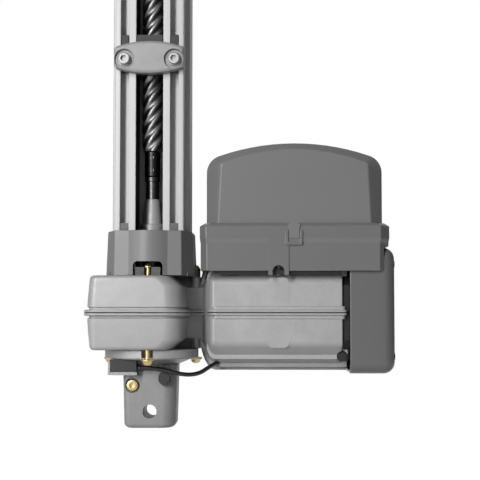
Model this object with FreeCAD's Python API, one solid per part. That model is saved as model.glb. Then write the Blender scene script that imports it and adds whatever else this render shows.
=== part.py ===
import FreeCAD, Part
import math
import os

# Lead-screw door opener: rail, carriage, gearmotor and cover. Millimetres, +Z up along the rail.
# The origin is the centre of the pivot bore. The lead screw turns about the Z axis.
# X runs along the motor, and -Y is the front, where the rail's slot opens.

# Rail extrusion
rail_length = 1000.0
rail_front_width = 59.5
rail_wing_width = 67.0
rail_front_reach = 30.0
rail_back_reach = 24.0
wing_depth = 36.0
rail_wall = 2.2
rail_back_wall = 3.0
slot_width = 23.2
channel_width = 28.0
groove_near = 17.7
groove_mouth = 7.3
groove_inside = 11.4
groove_depth = 10.0
groove_lip = 2.0

# Lead screw and its drive line
screw_diameter = 18.5
screw_start_rise = 107.0
journal_diameter = 9.0
top_journal_diameter = 10.0
top_journal_length = 14.0
sleeve_diameter = 13.6
sleeve_length = 22.6
spindle_diameter = 11.7
spindle_collar = 4.0
hub_top_diameter = 13.6
hub_foot_diameter = 19.6
hub_rise = 64.6
hub_length = 33.0
hub_step = 9.0
shaft_diameter = 17.0
running_gap = 0.05

# Worm gear
wheel_teeth = 30
worm_starts = 2
gear_module = 1.6
worm_pitch_diameter = 28.0
wheel_width = 14.0
wheel_seat_diameter = 20.0
key_size = 5.0

# Casting
split_height = 84.5
case_half_height = 31.5
case_left = 51.0
case_right = 31.0
case_front = 48.0
case_back = 62.0
case_wall = 5.0
case_draft = 2.6
case_corner = 8.0
case_front_corner = 27.0
case_edge_round = 3.5
case_facet = 9.5
neck_front = 8.0
flange_reach = 2.5
flange_half_height = 3.6
motor_flange_half_height = 6.0
gasket_thickness = 0.5

# Motor
motor_start = 51.0
motor_end = 166.0
motor_half_depth = 49.0
motor_half_height = 48.2
motor_shoulder = 9.0
motor_flange_overrun = 4.0
fin_height = 2.6
fin_thickness = 2.4
fin_pitch = 12.7
fin_count = 7
recess_diameter = 9.6
recess_drop = 38.0
boss_place = 110.5
boss_diameter = 18.6
bolt_diameter = 5.0
bolt_head_height = 3.5
stator_diameter = 67.0
stator_bore = 39.0
stator_length = 66.0
rotor_start = 70.0
rotor_gap = 0.5
winding_length = 11.0
motor_shaft_diameter = 12.0
motor_bearing_diameter = 32.0
motor_bearing_width = 10.0
output_bearing_diameter = 40.0
output_bearing_width = 12.0

# End cap and its seal
seal_width = 6.0
cap_length = 40.0
cap_half_depth = 54.0
cap_half_height = 54.5
cap_lift = 2.0
cap_screw_inset_y = 10.0
cap_screw_inset_z = 14.5
cap_wall = 2.6
cap_round = 12.0
cap_end_round = 9.0

# Cover tray and dome, with heights from the casting's top
tray_side_gap = 1.1
tray_right = 206.3
tray_front = 21.0
tray_back = 97.0
tray_bottom_rise = 4.3
tray_shoulder_rise = 43.4
tray_top_rise = 46.0
tray_floor_rise = 27.0
tray_wall = 2.5
tray_corner = 7.0
tray_band = 0.7
band_height = 12.0
dome_left_inset = 5.2
dome_right_inset = 4.8
dome_front = 10.5
dome_back = 86.5
dome_slope = 19.0
dome_top_rise = 117.5
dome_wall = 2.5
dome_round = 9.5
dome_edge_round = 16.0
seat_gap = 0.3
snap_place = 124.0
snap_width = 8.6
snap_thickness = 1.4

# Rail foot and socket
foot_thickness = 3.0
ear_height = 7.0
ear_side_gap = 4.2
ear_front_gap = 5.6
ear_size = 8.0
tab_slot_width = 6.4
side_screw_back = 12.0
post_diameter = 9.5
socket_height = 38.0
socket_foot_wall = 4.2
socket_top_wall = 2.7
socket_back_wall = 4.0
socket_front_wall = 9.0
socket_crown = 4.8
window_width = 25.2
window_height = 11.6

# Lower cover, knuckle and sensor
cover_diameter = 81.4
cover_height = 8.0
cover_screw_reach = 38.5
tier_height = 5.0
tier_top_diameter = 70.0
tier_foot_diameter = 48.0
knuckle_width = 46.8
knuckle_foot_width = 43.8
knuckle_depth = 38.0
knuckle_foot = 14.0
knuckle_round = 6.0
knuckle_chamfer = 2.5
pivot_diameter = 12.0
knuckle_screw_left = 14.9
knuckle_screw_drop = 17.6
clip_place = 14.0
clip_drop = 11.5
clip_thickness = 2.4
sensor_width = 23.0
sensor_depth = 9.6
sensor_height = 10.6
sensor_left = 33.0
sensor_front = 29.0
sensor_outlet_length = 3.0
cable_diameter = 3.7

# Carriage at its rest place along the rail
carriage_height = 302.8
plate_width = 60.0
plate_slope = 17.3
plate_end_height = 17.6
plate_thickness = 8.0
plate_gap = 0.5
plate_screw_drop = 1.7
shoe_length = 31.5
shoe_lift = 20.7
slide_gap = 0.6

# Small parts
small_screw_diameter = 4.6
small_head_diameter = 7.4
small_head_height = 3.4
cover_head_diameter = 11.2
cover_head_height = 5.0
plate_screw_diameter = 6.0
board_thickness = 1.6
standoff_height = 8.0
end_block_height = 22.0
end_plate_thickness = 4.0
fan_diameter = 68.0
fan_length = 12.0
capacitor_diameter = 30.0
capacitor_length = 62.0
terminal_count = 8
terminal_pitch = 7.5
cable_hole_depth = 12.0

# A length that reaches past every piece, for cuts that run right through
beyond = 500.0

# Places that follow from the sizes above
wheel_pitch_diameter = wheel_teeth * gear_module
motor_axis_y = (wheel_pitch_diameter + worm_pitch_diameter) / 2
case_top = split_height + case_half_height
case_bottom = split_height - case_half_height
neck_face_height = case_half_height - case_facet
rail_bottom = case_top + foot_thickness
rail_top = rail_bottom + rail_length
cap_start = motor_end + seal_width
cap_end = cap_start + cap_length
cap_middle = split_height + cap_lift
tray_floor = case_top + tray_floor_rise
tray_shoulder = case_top + tray_shoulder_rise
tray_top = case_top + tray_top_rise
dome_top = case_top + dome_top_rise
cover_bottom = case_bottom - cover_height
tier_bottom = cover_bottom - tier_height
screw_start = rail_bottom + screw_start_rise
sleeve_bottom = screw_start - sleeve_length
hub_top = rail_bottom + hub_rise
screw_top = rail_top - end_block_height
groove_middle = groove_near + groove_mouth / 2
ear_front_reach = rail_front_reach + ear_front_gap
ear_reach = rail_wing_width / 2 + ear_side_gap
side_screw_places = [(ear_reach, side_screw_back), (-ear_reach, side_screw_back)]
ear_places = [(0, -ear_front_reach), (0, ear_front_reach)] + side_screw_places
cover_screw_places = [(0, -cover_screw_reach), (0, cover_screw_reach)] + side_screw_places
tray_left = ear_reach + small_head_diameter / 2 + tray_side_gap
tray_bottom = case_top + tray_bottom_rise
dome_left = tray_left + dome_left_inset
dome_right = tray_right - dome_right_inset
boss_front_y = motor_axis_y - motor_half_depth + boss_diameter / 2
boss_back_y = motor_axis_y + motor_half_depth - boss_diameter / 2
worm_root_radius = worm_pitch_diameter / 2 - 1.25 * gear_module
worm_tip_radius = worm_pitch_diameter / 2 + gear_module
wheel_tip_radius = wheel_pitch_diameter / 2 + gear_module
wheel_root_radius = wheel_pitch_diameter / 2 - 1.25 * gear_module


def vec(x, y, z):
    return FreeCAD.Vector(x, y, z)


def box(x0, x1, y0, y1, z0, z1):
    return Part.makeBox(x1 - x0, y1 - y0, z1 - z0, vec(x0, y0, z0))


def rod_z(radius, z0, z1, x=0.0, y=0.0):
    return Part.makeCylinder(radius, z1 - z0, vec(x, y, z0), vec(0, 0, 1))


def rod_y(radius, y0, y1, x=0.0, z=0.0):
    return Part.makeCylinder(radius, y1 - y0, vec(x, y0, z), vec(0, 1, 0))


def rod_x(radius, x0, x1, y=motor_axis_y, z=split_height):
    return Part.makeCylinder(radius, x1 - x0, vec(x0, y, z), vec(1, 0, 0))


def ring_z(outer, inner, z0, z1, x=0.0, y=0.0):
    return rod_z(outer, z0, z1, x, y).cut(rod_z(inner, z0, z1, x, y))


def ring_x(outer, inner, x0, x1):
    return rod_x(outer, x0, x1).cut(rod_x(inner, x0, x1))


def plan(z):
    """Places a flat outline in the level plane at height z."""
    return lambda u, v: vec(u, v, z)


def front(y):
    """Places a flat outline in the upright plane across the rail at depth y."""
    return lambda u, v: vec(u, y, v)


def side(x):
    """Places a flat outline in the upright plane across the motor at place x."""
    return lambda u, v: vec(x, u, v)


def outline(corners, place):
    """Closed wire through corners (u, v, radius), each rounded by its radius."""
    points = [place(u, v) for u, v, _ in corners]
    radii = [radius for _, _, radius in corners]
    ends = []
    for i, corner in enumerate(points):
        to_before = (points[i - 1] - corner).normalize()
        to_after = (points[(i + 1) % len(points)] - corner).normalize()
        if radii[i] == 0:
            ends.append((corner, None, corner))
            continue
        half_angle = to_before.getAngle(to_after) / 2
        reach = radii[i] / math.tan(half_angle)
        inward = (to_before + to_after).normalize()
        middle = corner + inward * (radii[i] / math.sin(half_angle) - radii[i])
        ends.append((corner + to_before * reach, middle, corner + to_after * reach))
    edges = []
    for i, (start, middle, end) in enumerate(ends):
        if middle is not None:
            edges.append(Part.Arc(start, middle, end).toShape())
        following = ends[(i + 1) % len(ends)][0]
        if end.distanceToPoint(following) > 1e-6:
            edges.append(Part.makeLine(end, following))
    return Part.Wire(edges)


def prism(corners, place, run):
    return Part.Face(outline(corners, place)).extrude(run)


def loft(lower, upper):
    return Part.makeLoft([lower, upper], True, True)


def fuse(shapes):
    return shapes[0].multiFuse(shapes[1:]).removeSplitter()


def mirrored_x(shape):
    return shape.mirror(vec(0, 0, 0), vec(1, 0, 0))


def below_split(shape):
    """The same shape on the other side of the casting's joint."""
    return shape.mirror(vec(0, 0, split_height), vec(0, 0, 1))


def rectangle(x0, x1, y0, y1, radius=0.0):
    return [(x0, y0, radius), (x1, y0, radius), (x1, y1, radius), (x0, y1, radius)]


# Rail and what stands in it

def rail_outer(grow=0.0):
    """Stepped outline of the extrusion: a narrower front and two wings behind it."""
    nose = rail_front_width / 2 + grow
    wing = rail_wing_width / 2 + grow
    front_y = -rail_front_reach - grow
    back_y = rail_back_reach + grow
    step_y = rail_back_reach - wing_depth - grow
    return [(-nose, front_y, 1.2), (nose, front_y, 1.2), (nose, step_y, 0), (wing, step_y, 1.2),
            (wing, back_y, 1.2), (-wing, back_y, 1.2), (-wing, step_y, 1.2), (-nose, step_y, 0)]


def rail():
    run = vec(0, 0, rail_length)
    base = plan(rail_bottom)
    body = prism(rail_outer(), base, run)
    slot_half = slot_width / 2
    channel_half = channel_width / 2
    channel_front = -rail_front_reach + rail_wall
    channel_back = rail_back_reach - rail_back_wall
    hollows = [
        prism(rectangle(-slot_half, slot_half, -rail_front_reach - 1, channel_front + 1), base, run),
        prism(rectangle(-channel_half, channel_half, channel_front, channel_back), base, run),
    ]
    groove_floor = -rail_front_reach + groove_depth
    lip_back = -rail_front_reach + groove_lip
    inside_near = groove_middle - groove_inside / 2
    inside_far = groove_middle + groove_inside / 2
    mouth_far = groove_near + groove_mouth
    chamber_near = channel_half + rail_wall
    chamber_far = rail_wing_width / 2 - rail_wall
    step_y = rail_back_reach - wing_depth
    nose_far = rail_front_width / 2 - rail_wall
    mouth = prism(rectangle(groove_near, mouth_far, -rail_front_reach - 1, lip_back + 1), base, run)
    groove = prism(rectangle(inside_near, inside_far, lip_back, groove_floor, 0.6), base, run)
    chamber = prism([(chamber_near, groove_floor + rail_wall, 0), (nose_far, groove_floor + rail_wall, 0),
                     (nose_far, step_y + rail_wall, 0), (chamber_far, step_y + rail_wall, 0),
                     (chamber_far, channel_back, 0), (chamber_near, channel_back, 0)], base, run)
    for hollow in (mouth, groove, chamber):
        hollows += [hollow, mirrored_x(hollow)]
    return body.cut(hollows)


def rail_clamp_blocks():
    """Two T-shaped steel blocks that hold the rail's foot end in its grooves."""
    block_top = rail_bottom + socket_height + 4
    half_mouth = groove_mouth / 2 - slide_gap / 2
    half_inside = groove_inside / 2 - slide_gap / 2
    lip_back = -rail_front_reach + groove_lip + slide_gap / 2
    floor = -rail_front_reach + groove_depth
    stem = box(groove_middle - half_mouth, groove_middle + half_mouth,
               -rail_front_reach + 0.4, lip_back, rail_bottom, block_top)
    bar = prism(rectangle(groove_middle - half_inside, groove_middle + half_inside, lip_back, floor, 0.9),
                plan(rail_bottom), vec(0, 0, block_top - rail_bottom))
    block = fuse([stem, bar])
    return Part.makeCompound([block, mirrored_x(block)])


def rail_end_block():
    """Block in the channel's far end with a plate over the whole extrusion."""
    half = channel_width / 2 - slide_gap / 2
    front_y = -rail_front_reach + rail_wall + slide_gap
    back_y = rail_back_reach - rail_back_wall
    block = box(-half, half, front_y, back_y, screw_top + 1, rail_top)
    plate = prism(rail_outer(), plan(rail_top), vec(0, 0, end_plate_thickness))
    bush_radius = top_journal_diameter / 2 + 3
    body = fuse([block, plate])
    holes = [rod_z(bush_radius, screw_top, rail_top - 1)]
    top = rail_top + end_plate_thickness
    for x, y in end_screw_places():
        holes.append(rod_z(small_screw_diameter / 2 + running_gap, rail_top, top, x, y))
        holes.append(rod_z(small_head_diameter / 2 + seat_gap, rail_top + 1, top, x, y))
    return body.cut(holes)


def end_screw_places():
    chamber_middle = (channel_width / 2 + rail_wing_width / 2) / 2
    return [(-chamber_middle, 4), (chamber_middle, 4)]


def rail_end_bush():
    radius = top_journal_diameter / 2
    return ring_z(radius + 3, radius + running_gap, screw_top + 1, rail_top - 1)


def rail_end_screws():
    """Screws from the end plate into the rail's side chambers, with flush heads."""
    seat = rail_top + 1
    return Part.makeCompound([
        rod_z(small_screw_diameter / 2, rail_top - 10, seat, x, y).fuse(
            rod_z(small_head_diameter / 2, seat, rail_top + end_plate_thickness - 0.2, x, y))
        for x, y in end_screw_places()])


# Lead screw and drive line

def lead_screw():
    """Screw with a plain rod at the thread's outer size and a journal at each end."""
    body = rod_z(screw_diameter / 2, screw_start, screw_top)
    body = body.makeChamfer(1.2, edges_at_height(body, [screw_start, screw_top]))
    foot = rod_z(journal_diameter / 2, screw_start - sleeve_length / 2, screw_start)
    head = rod_z(top_journal_diameter / 2, screw_top, screw_top + top_journal_length)
    return fuse([body, foot, head]).cut(rod_y(1.55, -20, 20, 0, sleeve_pin_heights()[1]))


def edges_at_height(shape, heights):
    """Edges of a shape that lie level at one of the given heights."""
    return [edge for edge in shape.Edges
            if any(abs(edge.BoundBox.ZMin - h) < 1e-4 and abs(edge.BoundBox.ZMax - h) < 1e-4
                   for h in heights)]


def coupling_sleeve():
    outer = rod_z(sleeve_diameter / 2, sleeve_bottom, screw_start)
    bore = rod_z(journal_diameter / 2 + running_gap, sleeve_bottom, screw_start)
    pins = [rod_y(1.55, -20, 20, 0, z) for z in sleeve_pin_heights()]
    return outer.cut([bore] + pins)


def sleeve_pin_heights():
    return [sleeve_bottom + sleeve_length / 4, screw_start - sleeve_length / 4]


def sleeve_pins():
    """Two spring pins, one through the spindle and one through the screw's journal."""
    half = sleeve_diameter / 2 - 0.1
    return Part.makeCompound([rod_y(1.5, -half, half, 0, z) for z in sleeve_pin_heights()])


def output_shaft():
    """Shaft from the magnet disc through the wheel to the coupling sleeve."""
    bottom = cover_bottom + 2
    hub_bottom = hub_top - hub_length
    wheel_half = wheel_width / 2
    pieces = [
        rod_z(shaft_diameter / 2, bottom, hub_bottom + hub_step),
        rod_z(wheel_seat_diameter / 2, split_height - wheel_half, split_height + wheel_half),
        rod_z(spindle_diameter / 2, hub_bottom + hub_step, sleeve_bottom),
        rod_z(spindle_diameter / 2 + 0.9, sleeve_bottom - spindle_collar, sleeve_bottom),
        rod_z(journal_diameter / 2, sleeve_bottom, sleeve_bottom + sleeve_length / 2 - 0.4),
    ]
    keyway = box(wheel_seat_diameter / 2 - key_size / 2, wheel_seat_diameter / 2 + key_size,
                 -key_size / 2, key_size / 2, split_height - wheel_half, split_height + wheel_half)
    pins = [rod_y(1.55, -20, 20, 0, sleeve_pin_heights()[0])]
    return fuse(pieces).cut([keyway] + pins)


def shaft_hub():
    """Tapered cast hub on the shaft, with a ring at its foot."""
    bottom = hub_top - hub_length
    cone = Part.makeCone(hub_foot_diameter / 2, hub_top_diameter / 2, hub_length, vec(0, 0, bottom))
    foot = rod_z(hub_foot_diameter / 2 + 1.0, bottom, bottom + hub_step + 2)
    bore = rod_z(shaft_diameter / 2, bottom, bottom + hub_step)
    tip_bore = rod_z(spindle_diameter / 2, bottom, hub_top)
    return fuse([cone, foot]).cut([bore, tip_bore])


def worm_wheel():
    """Spur-cut rim with straight-sided teeth, a web and a keyed bore."""
    half = wheel_width / 2
    pitch_angle = 2 * math.pi / wheel_teeth
    points = []
    for tooth in range(wheel_teeth):
        for radius, share in ((wheel_root_radius, -0.36), (wheel_tip_radius, -0.14),
                              (wheel_tip_radius, 0.14), (wheel_root_radius, 0.36)):
            angle = (tooth + share) * pitch_angle
            points.append((radius * math.cos(angle), radius * math.sin(angle), 0))
    rim = prism(points, plan(split_height - half), vec(0, 0, wheel_width))
    web_cut = ring_z(wheel_root_radius - 4, wheel_seat_diameter / 2 + 5, split_height + 2, split_height + half)
    bore = rod_z(wheel_seat_diameter / 2, split_height - half, split_height + half)
    keyway = box(0, wheel_seat_diameter / 2 + key_size / 2, -key_size / 2, key_size / 2,
                 split_height - half, split_height + half)
    return rim.cut([web_cut, below_split(web_cut), bore, keyway])


def wheel_key():
    half = wheel_width / 2 - 1
    seat = wheel_seat_diameter / 2
    return box(seat - key_size / 2, seat + key_size / 2, -key_size / 2, key_size / 2,
               split_height - half, split_height + half)


def magnet_disc():
    bottom = cover_bottom + 2
    return ring_z(shaft_diameter / 2 + 6, shaft_diameter / 2, bottom, bottom + 4)


def output_bearings():
    radius = output_bearing_diameter / 2
    lower = ring_z(radius, shaft_diameter / 2 + running_gap, case_bottom + 3,
                   case_bottom + 3 + output_bearing_width)
    return Part.makeCompound([lower, below_split(lower)])


def oil_seal():
    return ring_z(output_bearing_diameter / 2 - 4, shaft_diameter / 2 + running_gap, case_top - 3, case_top)


# Motor's inside

def worm_shaft():
    """Motor shaft with the worm's core turned on its gearbox end."""
    radius = motor_shaft_diameter / 2
    bearing_end = worm_bearing_starts()[0]
    core = rod_x(worm_root_radius, bearing_end + motor_bearing_width, case_right - 1)
    near = rod_x(radius, bearing_end, bearing_end + motor_bearing_width)
    far = rod_x(radius, case_right - 1, cap_start + fan_length + 4)
    return fuse([near, core, far])


def worm_bearing_starts():
    """Where the three bearings of the motor shaft start along it."""
    beside_bolt = -case_left + case_wall + 2 * bolt_diameter
    return [beside_bolt, case_right, motor_end - motor_bearing_width - 3]


def motor_bearings():
    return Part.makeCompound([
        ring_x(motor_bearing_diameter / 2, motor_shaft_diameter / 2 + running_gap,
               start, start + motor_bearing_width)
        for start in worm_bearing_starts()])


def rotor_core():
    return ring_x(stator_bore / 2 - rotor_gap, motor_shaft_diameter / 2, rotor_start,
                  rotor_start + stator_length)


def stator_core():
    return ring_x(stator_diameter / 2 - running_gap, stator_bore / 2, rotor_start, rotor_start + stator_length)


def stator_windings():
    """Two rings of wound wire ends, one on each face of the stator."""
    outer = stator_diameter / 2 - 3
    inner = stator_bore / 2 + 2
    near = ring_x(outer, inner, rotor_start - winding_length, rotor_start)
    far_face = rotor_start + stator_length
    far = ring_x(outer, inner, far_face, far_face + winding_length)
    return Part.makeCompound([near, far])


def motor_end_shield():
    seat = worm_bearing_starts()[2]
    plate = rod_x(stator_diameter / 2 - running_gap, seat - 2, motor_end)
    return plate.cut([rod_x(motor_bearing_diameter / 2 + running_gap, seat, motor_end),
                      rod_x(motor_shaft_diameter / 2 + 1, seat - 2, seat)])


def cooling_fan():
    """Disc fan on the motor shaft, with straight radial blades."""
    start = cap_start + 2
    hub_radius = motor_shaft_diameter / 2 + 4
    hub = rod_x(hub_radius, start, start + fan_length)
    disc = rod_x(fan_diameter / 2, start, start + 2)
    blades = []
    for i in range(8):
        blade = box(start, start + fan_length - 1, motor_axis_y - 1, motor_axis_y + 1,
                    split_height + hub_radius - 2, split_height + fan_diameter / 2)
        blade.rotate(vec(0, motor_axis_y, split_height), vec(1, 0, 0), 45 * i)
        blades.append(blade)
    return fuse([hub, disc] + blades).cut(rod_x(motor_shaft_diameter / 2, cap_start, start + fan_length))


# Casting

def case_plan(z, inset=0.0):
    """Gear case seen from above, smaller by an inset all round."""
    corner = case_corner - inset
    big = case_front_corner - inset
    left, right = -case_left + inset, case_right - inset
    return outline([(left, -case_front + inset, corner), (right, -case_front + inset, big),
                    (right, case_back - inset, corner / 2), (left, case_back - inset, corner)], plan(z))


def casting_plan(grow):
    """Whole casting seen from above: gear case, neck and motor, larger by grow all round."""
    left, right = -case_left - grow, case_right + grow
    near, far = motor_start - grow, motor_end + motor_flange_overrun
    case_y, back_y = -case_front - grow, case_back + grow
    front_y = motor_axis_y - motor_half_depth - grow
    rear_y = motor_axis_y + motor_half_depth + grow
    inner = 6.0 - grow
    return [(left, case_y, case_corner + grow), (right, case_y, case_front_corner + grow),
            (right, neck_front - grow, inner), (near, neck_front - grow, inner),
            (near, front_y, 6 + grow), (far, front_y, 3), (far, rear_y, 3), (near, rear_y, 6 + grow),
            (near, back_y, inner), (left, back_y, case_corner + grow)]


def motor_section(x, grow=0.0):
    """Section of the motor barrel: an upright front, sloping shoulders and a flat belly."""
    deep = motor_half_depth + grow
    high = motor_half_height + grow
    quarter = [(1.0, 0.54), (0.82, 0.78), (0.53, 0.92), (0.25, 1.0)]
    corners = []
    for u_sign, v_sign in ((-1, -1), (1, -1), (1, 1), (-1, 1)):
        run = quarter if u_sign * v_sign > 0 else quarter[::-1]
        for u, v in run:
            corners.append((motor_axis_y + u_sign * deep * u, split_height + v_sign * high * v, 0))
    return outline(corners, side(x))


def barrel(grow=0.0):
    """Motor barrel, with a shoulder that narrows towards the neck."""
    shoulder_end = motor_start + motor_shoulder
    small = motor_section(motor_start, grow - motor_shoulder)
    full = motor_section(shoulder_end, grow)
    return loft(small, full).fuse(
        Part.Face(full).extrude(vec(motor_end - shoulder_end, 0, 0)))


def fins():
    """Upright plates under and over the barrel, trimmed to a skin just outside it."""
    plates = []
    for i in range(fin_count):
        y = motor_axis_y + (i - (fin_count - 1) / 2) * fin_pitch
        plates.append(box(motor_start, motor_end - 1.5, y - fin_thickness / 2, y + fin_thickness / 2,
                          0, split_height + 2 * motor_half_height))
    return [barrel(fin_height).common(plate) for plate in plates]


def bolt_places():
    """Two bolts in the motor's bosses, then two in the gear case's left corners."""
    corner = case_wall + bolt_diameter
    return [(boss_place, boss_front_y - 2), (boss_place, boss_back_y + 2),
            (-case_left + corner, -case_front + corner), (-case_left + corner, case_back - 2 * case_wall - 1)]


def half_casting():
    """Upper half of the casting, from the joint up. The lower half is its mirror image."""
    joint = split_height + gasket_thickness / 2
    case = loft(case_plan(split_height), case_plan(case_top, case_draft))
    case = case.makeFillet(case_edge_round, edges_at_height(case, [case_top]))
    facet = prism([(case_right - case_facet, case_top + 1, 0), (case_right + 1, case_top + 1, 0),
                   (case_right + 1, case_top - case_facet, 0)],
                  front(-case_front - 5), vec(0, case_front + case_back + 10, 0))
    case = case.cut(facet)
    shoulder = split_height + neck_face_height
    neck = prism([(neck_front, split_height, 0), (case_back, split_height, 0),
                  (case_back, shoulder, 0), (case_back - case_facet, case_top, 0),
                  (neck_front + case_facet, case_top, 0), (neck_front, shoulder, 0)],
                 side(case_right - 6), vec(motor_start + motor_shoulder - case_right, 0, 0))
    posts = [rod_z(post_diameter / 2, split_height + neck_face_height / 2, case_top, x, y)
             for x, y in side_screw_places]
    bosses = [rod_z(boss_diameter / 2, split_height, case_top, boss_place, boss_front_y),
              rod_z(boss_diameter / 2, split_height, case_top, boss_place, boss_back_y)]
    band = prism(casting_plan(flange_reach), plan(split_height), vec(0, 0, flange_half_height))
    motor_band = prism(casting_plan(flange_reach / 2), plan(split_height), vec(0, 0, motor_flange_half_height))
    motor_band = motor_band.common(box(motor_start - 1, cap_start, -beyond, beyond, 0, beyond))
    body = fuse([case, neck, barrel(), band, motor_band, posts[0]] + fins() + bosses)
    chamber = loft(case_plan(split_height - 1, case_wall),
                   case_plan(case_top - case_wall, case_wall + case_draft))
    chamber = chamber.common(box(-beyond, beyond, -beyond, case_back - 2 * case_wall, 0, beyond))
    seat_top = case_top - 3
    bearing_boss = rod_z(output_bearing_diameter / 2 + 4, seat_top - output_bearing_width, seat_top)
    pedestal_start = worm_bearing_starts()[0] - 2
    pedestal = box(pedestal_start, pedestal_start + motor_bearing_width + 2, motor_axis_y - 20,
                   case_back - case_wall, split_height, case_top - case_wall)
    corner_bosses = [rod_z(bolt_diameter / 2 + 3.5, split_height, case_top - 2, x, y)
                     for x, y in bolt_places()[2:]]
    body = body.cut(chamber).multiFuse([bearing_boss, pedestal, posts[1]] + corner_bosses)
    cuts = [
        rod_z(output_bearing_diameter / 2 + running_gap, seat_top - output_bearing_width - 1, seat_top),
        rod_x(worm_tip_radius + 2, pedestal_start + motor_bearing_width + 2, case_right),
        rod_z(wheel_tip_radius + 1.5, split_height, split_height + wheel_width / 2 + 2),
        rod_x(motor_shaft_diameter / 2 + 3, case_right, motor_start + motor_shoulder),
        rod_x(stator_diameter / 2, motor_start + motor_shoulder - 2, motor_end + motor_flange_overrun),
        box(motor_end, cap_start, motor_axis_y - motor_half_depth + 4, motor_axis_y + motor_half_depth - 4,
            0, beyond),
        box(-beyond, beyond, -beyond, beyond, -beyond, joint),
    ]
    for start in worm_bearing_starts()[:2]:
        cuts.append(rod_x(motor_bearing_diameter / 2 + running_gap, start, start + motor_bearing_width))
    for x, y in bolt_places():
        cuts.append(rod_z(bolt_diameter / 2 + running_gap, split_height, case_top, x, y))
        cuts.append(rod_z(bolt_diameter, case_top - bolt_head_height - 0.5, case_top + 40, x, y))
    return body.cut(cuts)


def upper_housing(half):
    """Upper casting, with the oil seal's bore and holes for the rail foot's screws."""
    cuts = [rod_z(output_bearing_diameter / 2 - 4, case_top - 4, case_top + 1)]
    for x, y in ear_places:
        cuts.append(rod_z(small_screw_diameter / 2 + running_gap, case_top - 10, case_top + 1, x, y))
    return half.cut(cuts)


def lower_housing(half):
    """Lower casting, open for the shaft, with holes for the lower cover's screws."""
    cuts = [rod_z(output_bearing_diameter / 2 - 4, case_bottom - 1, case_bottom + 4)]
    for x, y in cover_screw_places:
        cuts.append(rod_z(small_screw_diameter / 2 + running_gap, case_bottom - 1, case_bottom + 11, x, y))
    last, end = cable_route()[-2:]
    along = (end - last).normalize()
    cuts.append(Part.makeCylinder(cable_diameter / 2 + running_gap, cable_hole_depth + 2,
                                  end - along * cable_hole_depth, along))
    cuts.append(rod_y(recess_diameter / 2, motor_axis_y - motor_half_depth - 5,
                      motor_axis_y + motor_half_depth + 5, motor_end, split_height - recess_drop))
    return below_split(half).cut(cuts)


def housing_gasket(half):
    """Thin gasket with the outline of the joint face and every opening in it."""
    joint = split_height + gasket_thickness / 2
    faces = [face for face in half.Faces
             if abs(face.BoundBox.ZMin - joint) < 1e-4 and abs(face.BoundBox.ZMax - joint) < 1e-4]
    return Part.makeCompound([face.extrude(vec(0, 0, -gasket_thickness)) for face in faces])


def housing_bolts():
    """Bolts that clamp the two halves, with their heads on the upper one."""
    return Part.makeCompound([
        rod_z(bolt_diameter / 2, case_bottom + 6, case_top - bolt_head_height, x, y).fuse(
            rod_z(bolt_diameter * 0.85, case_top - bolt_head_height - 0.5, case_top - 0.5, x, y))
        for x, y in bolt_places()])


# End cap

def end_seal():
    """Dark band between the casting and the cap, set back from both."""
    outer = Part.Face(motor_section(motor_end, -4.0)).extrude(vec(seal_width, 0, 0))
    return outer.cut(rod_x(stator_diameter / 2, motor_end, cap_start))


def end_cap():
    """Moulded cap with rounded edges and a slightly crowned end, open towards the motor."""
    def shell(inset):
        y0, y1 = motor_axis_y - cap_half_depth + inset, motor_axis_y + cap_half_depth - inset
        z0, z1 = cap_middle - cap_half_height + inset, cap_middle + cap_half_height - inset
        radius = 0 if inset else cap_round
        length = cap_length - inset
        start = cap_start - (1 if inset else 0)
        body = prism([(y0, z0, radius), (y1, z0, radius), (y1, z1, radius), (y0, z1, radius)],
                     side(start), vec(length + cap_start - start, 0, 0))
        end_edges = [edge for edge in body.Edges if edge.BoundBox.XMin > start + 1]
        if inset:
            return body.makeChamfer(cap_end_round / 2, end_edges)
        return body.makeFillet(cap_end_round, end_edges)
    holes = [rod_x(2.1, cap_end - cap_wall - 1, cap_end + 1, y, z) for y, z in cap_screw_places()]
    posts = [rod_x(4.5, cap_start, cap_end - cap_wall, y, z).cut(rod_x(2.1, cap_start, cap_end, y, z))
             for y, z in cap_screw_places()]
    return fuse([shell(0).cut([shell(cap_wall)] + holes)] + posts)


def cap_screw_places():
    reach_y = cap_half_depth - cap_screw_inset_y
    reach_z = cap_half_height - cap_screw_inset_z
    return [(motor_axis_y + u * reach_y, cap_middle + v * reach_z)
            for u, v in ((-1, -1), (1, -1), (1, 1), (-1, 1))]


def end_cap_screws():
    return Part.makeCompound([
        rod_x(2.0, cap_start - 1, cap_end, y, z).fuse(rod_x(small_head_diameter / 2, cap_end, cap_end + 2, y, z))
        for y, z in cap_screw_places()])


# Tray, dome and electronics

def tray_outline(inset, place):
    radius = max(tray_corner - inset, 0.5)
    return outline(rectangle(tray_left + inset, tray_right - inset, -tray_front + inset,
                             tray_back - inset, radius), place)


def dome_outline(grow, place):
    return outline(rectangle(dome_left - grow, dome_right + grow, -dome_front - grow,
                             dome_back + grow, dome_round + grow), place)


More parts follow.
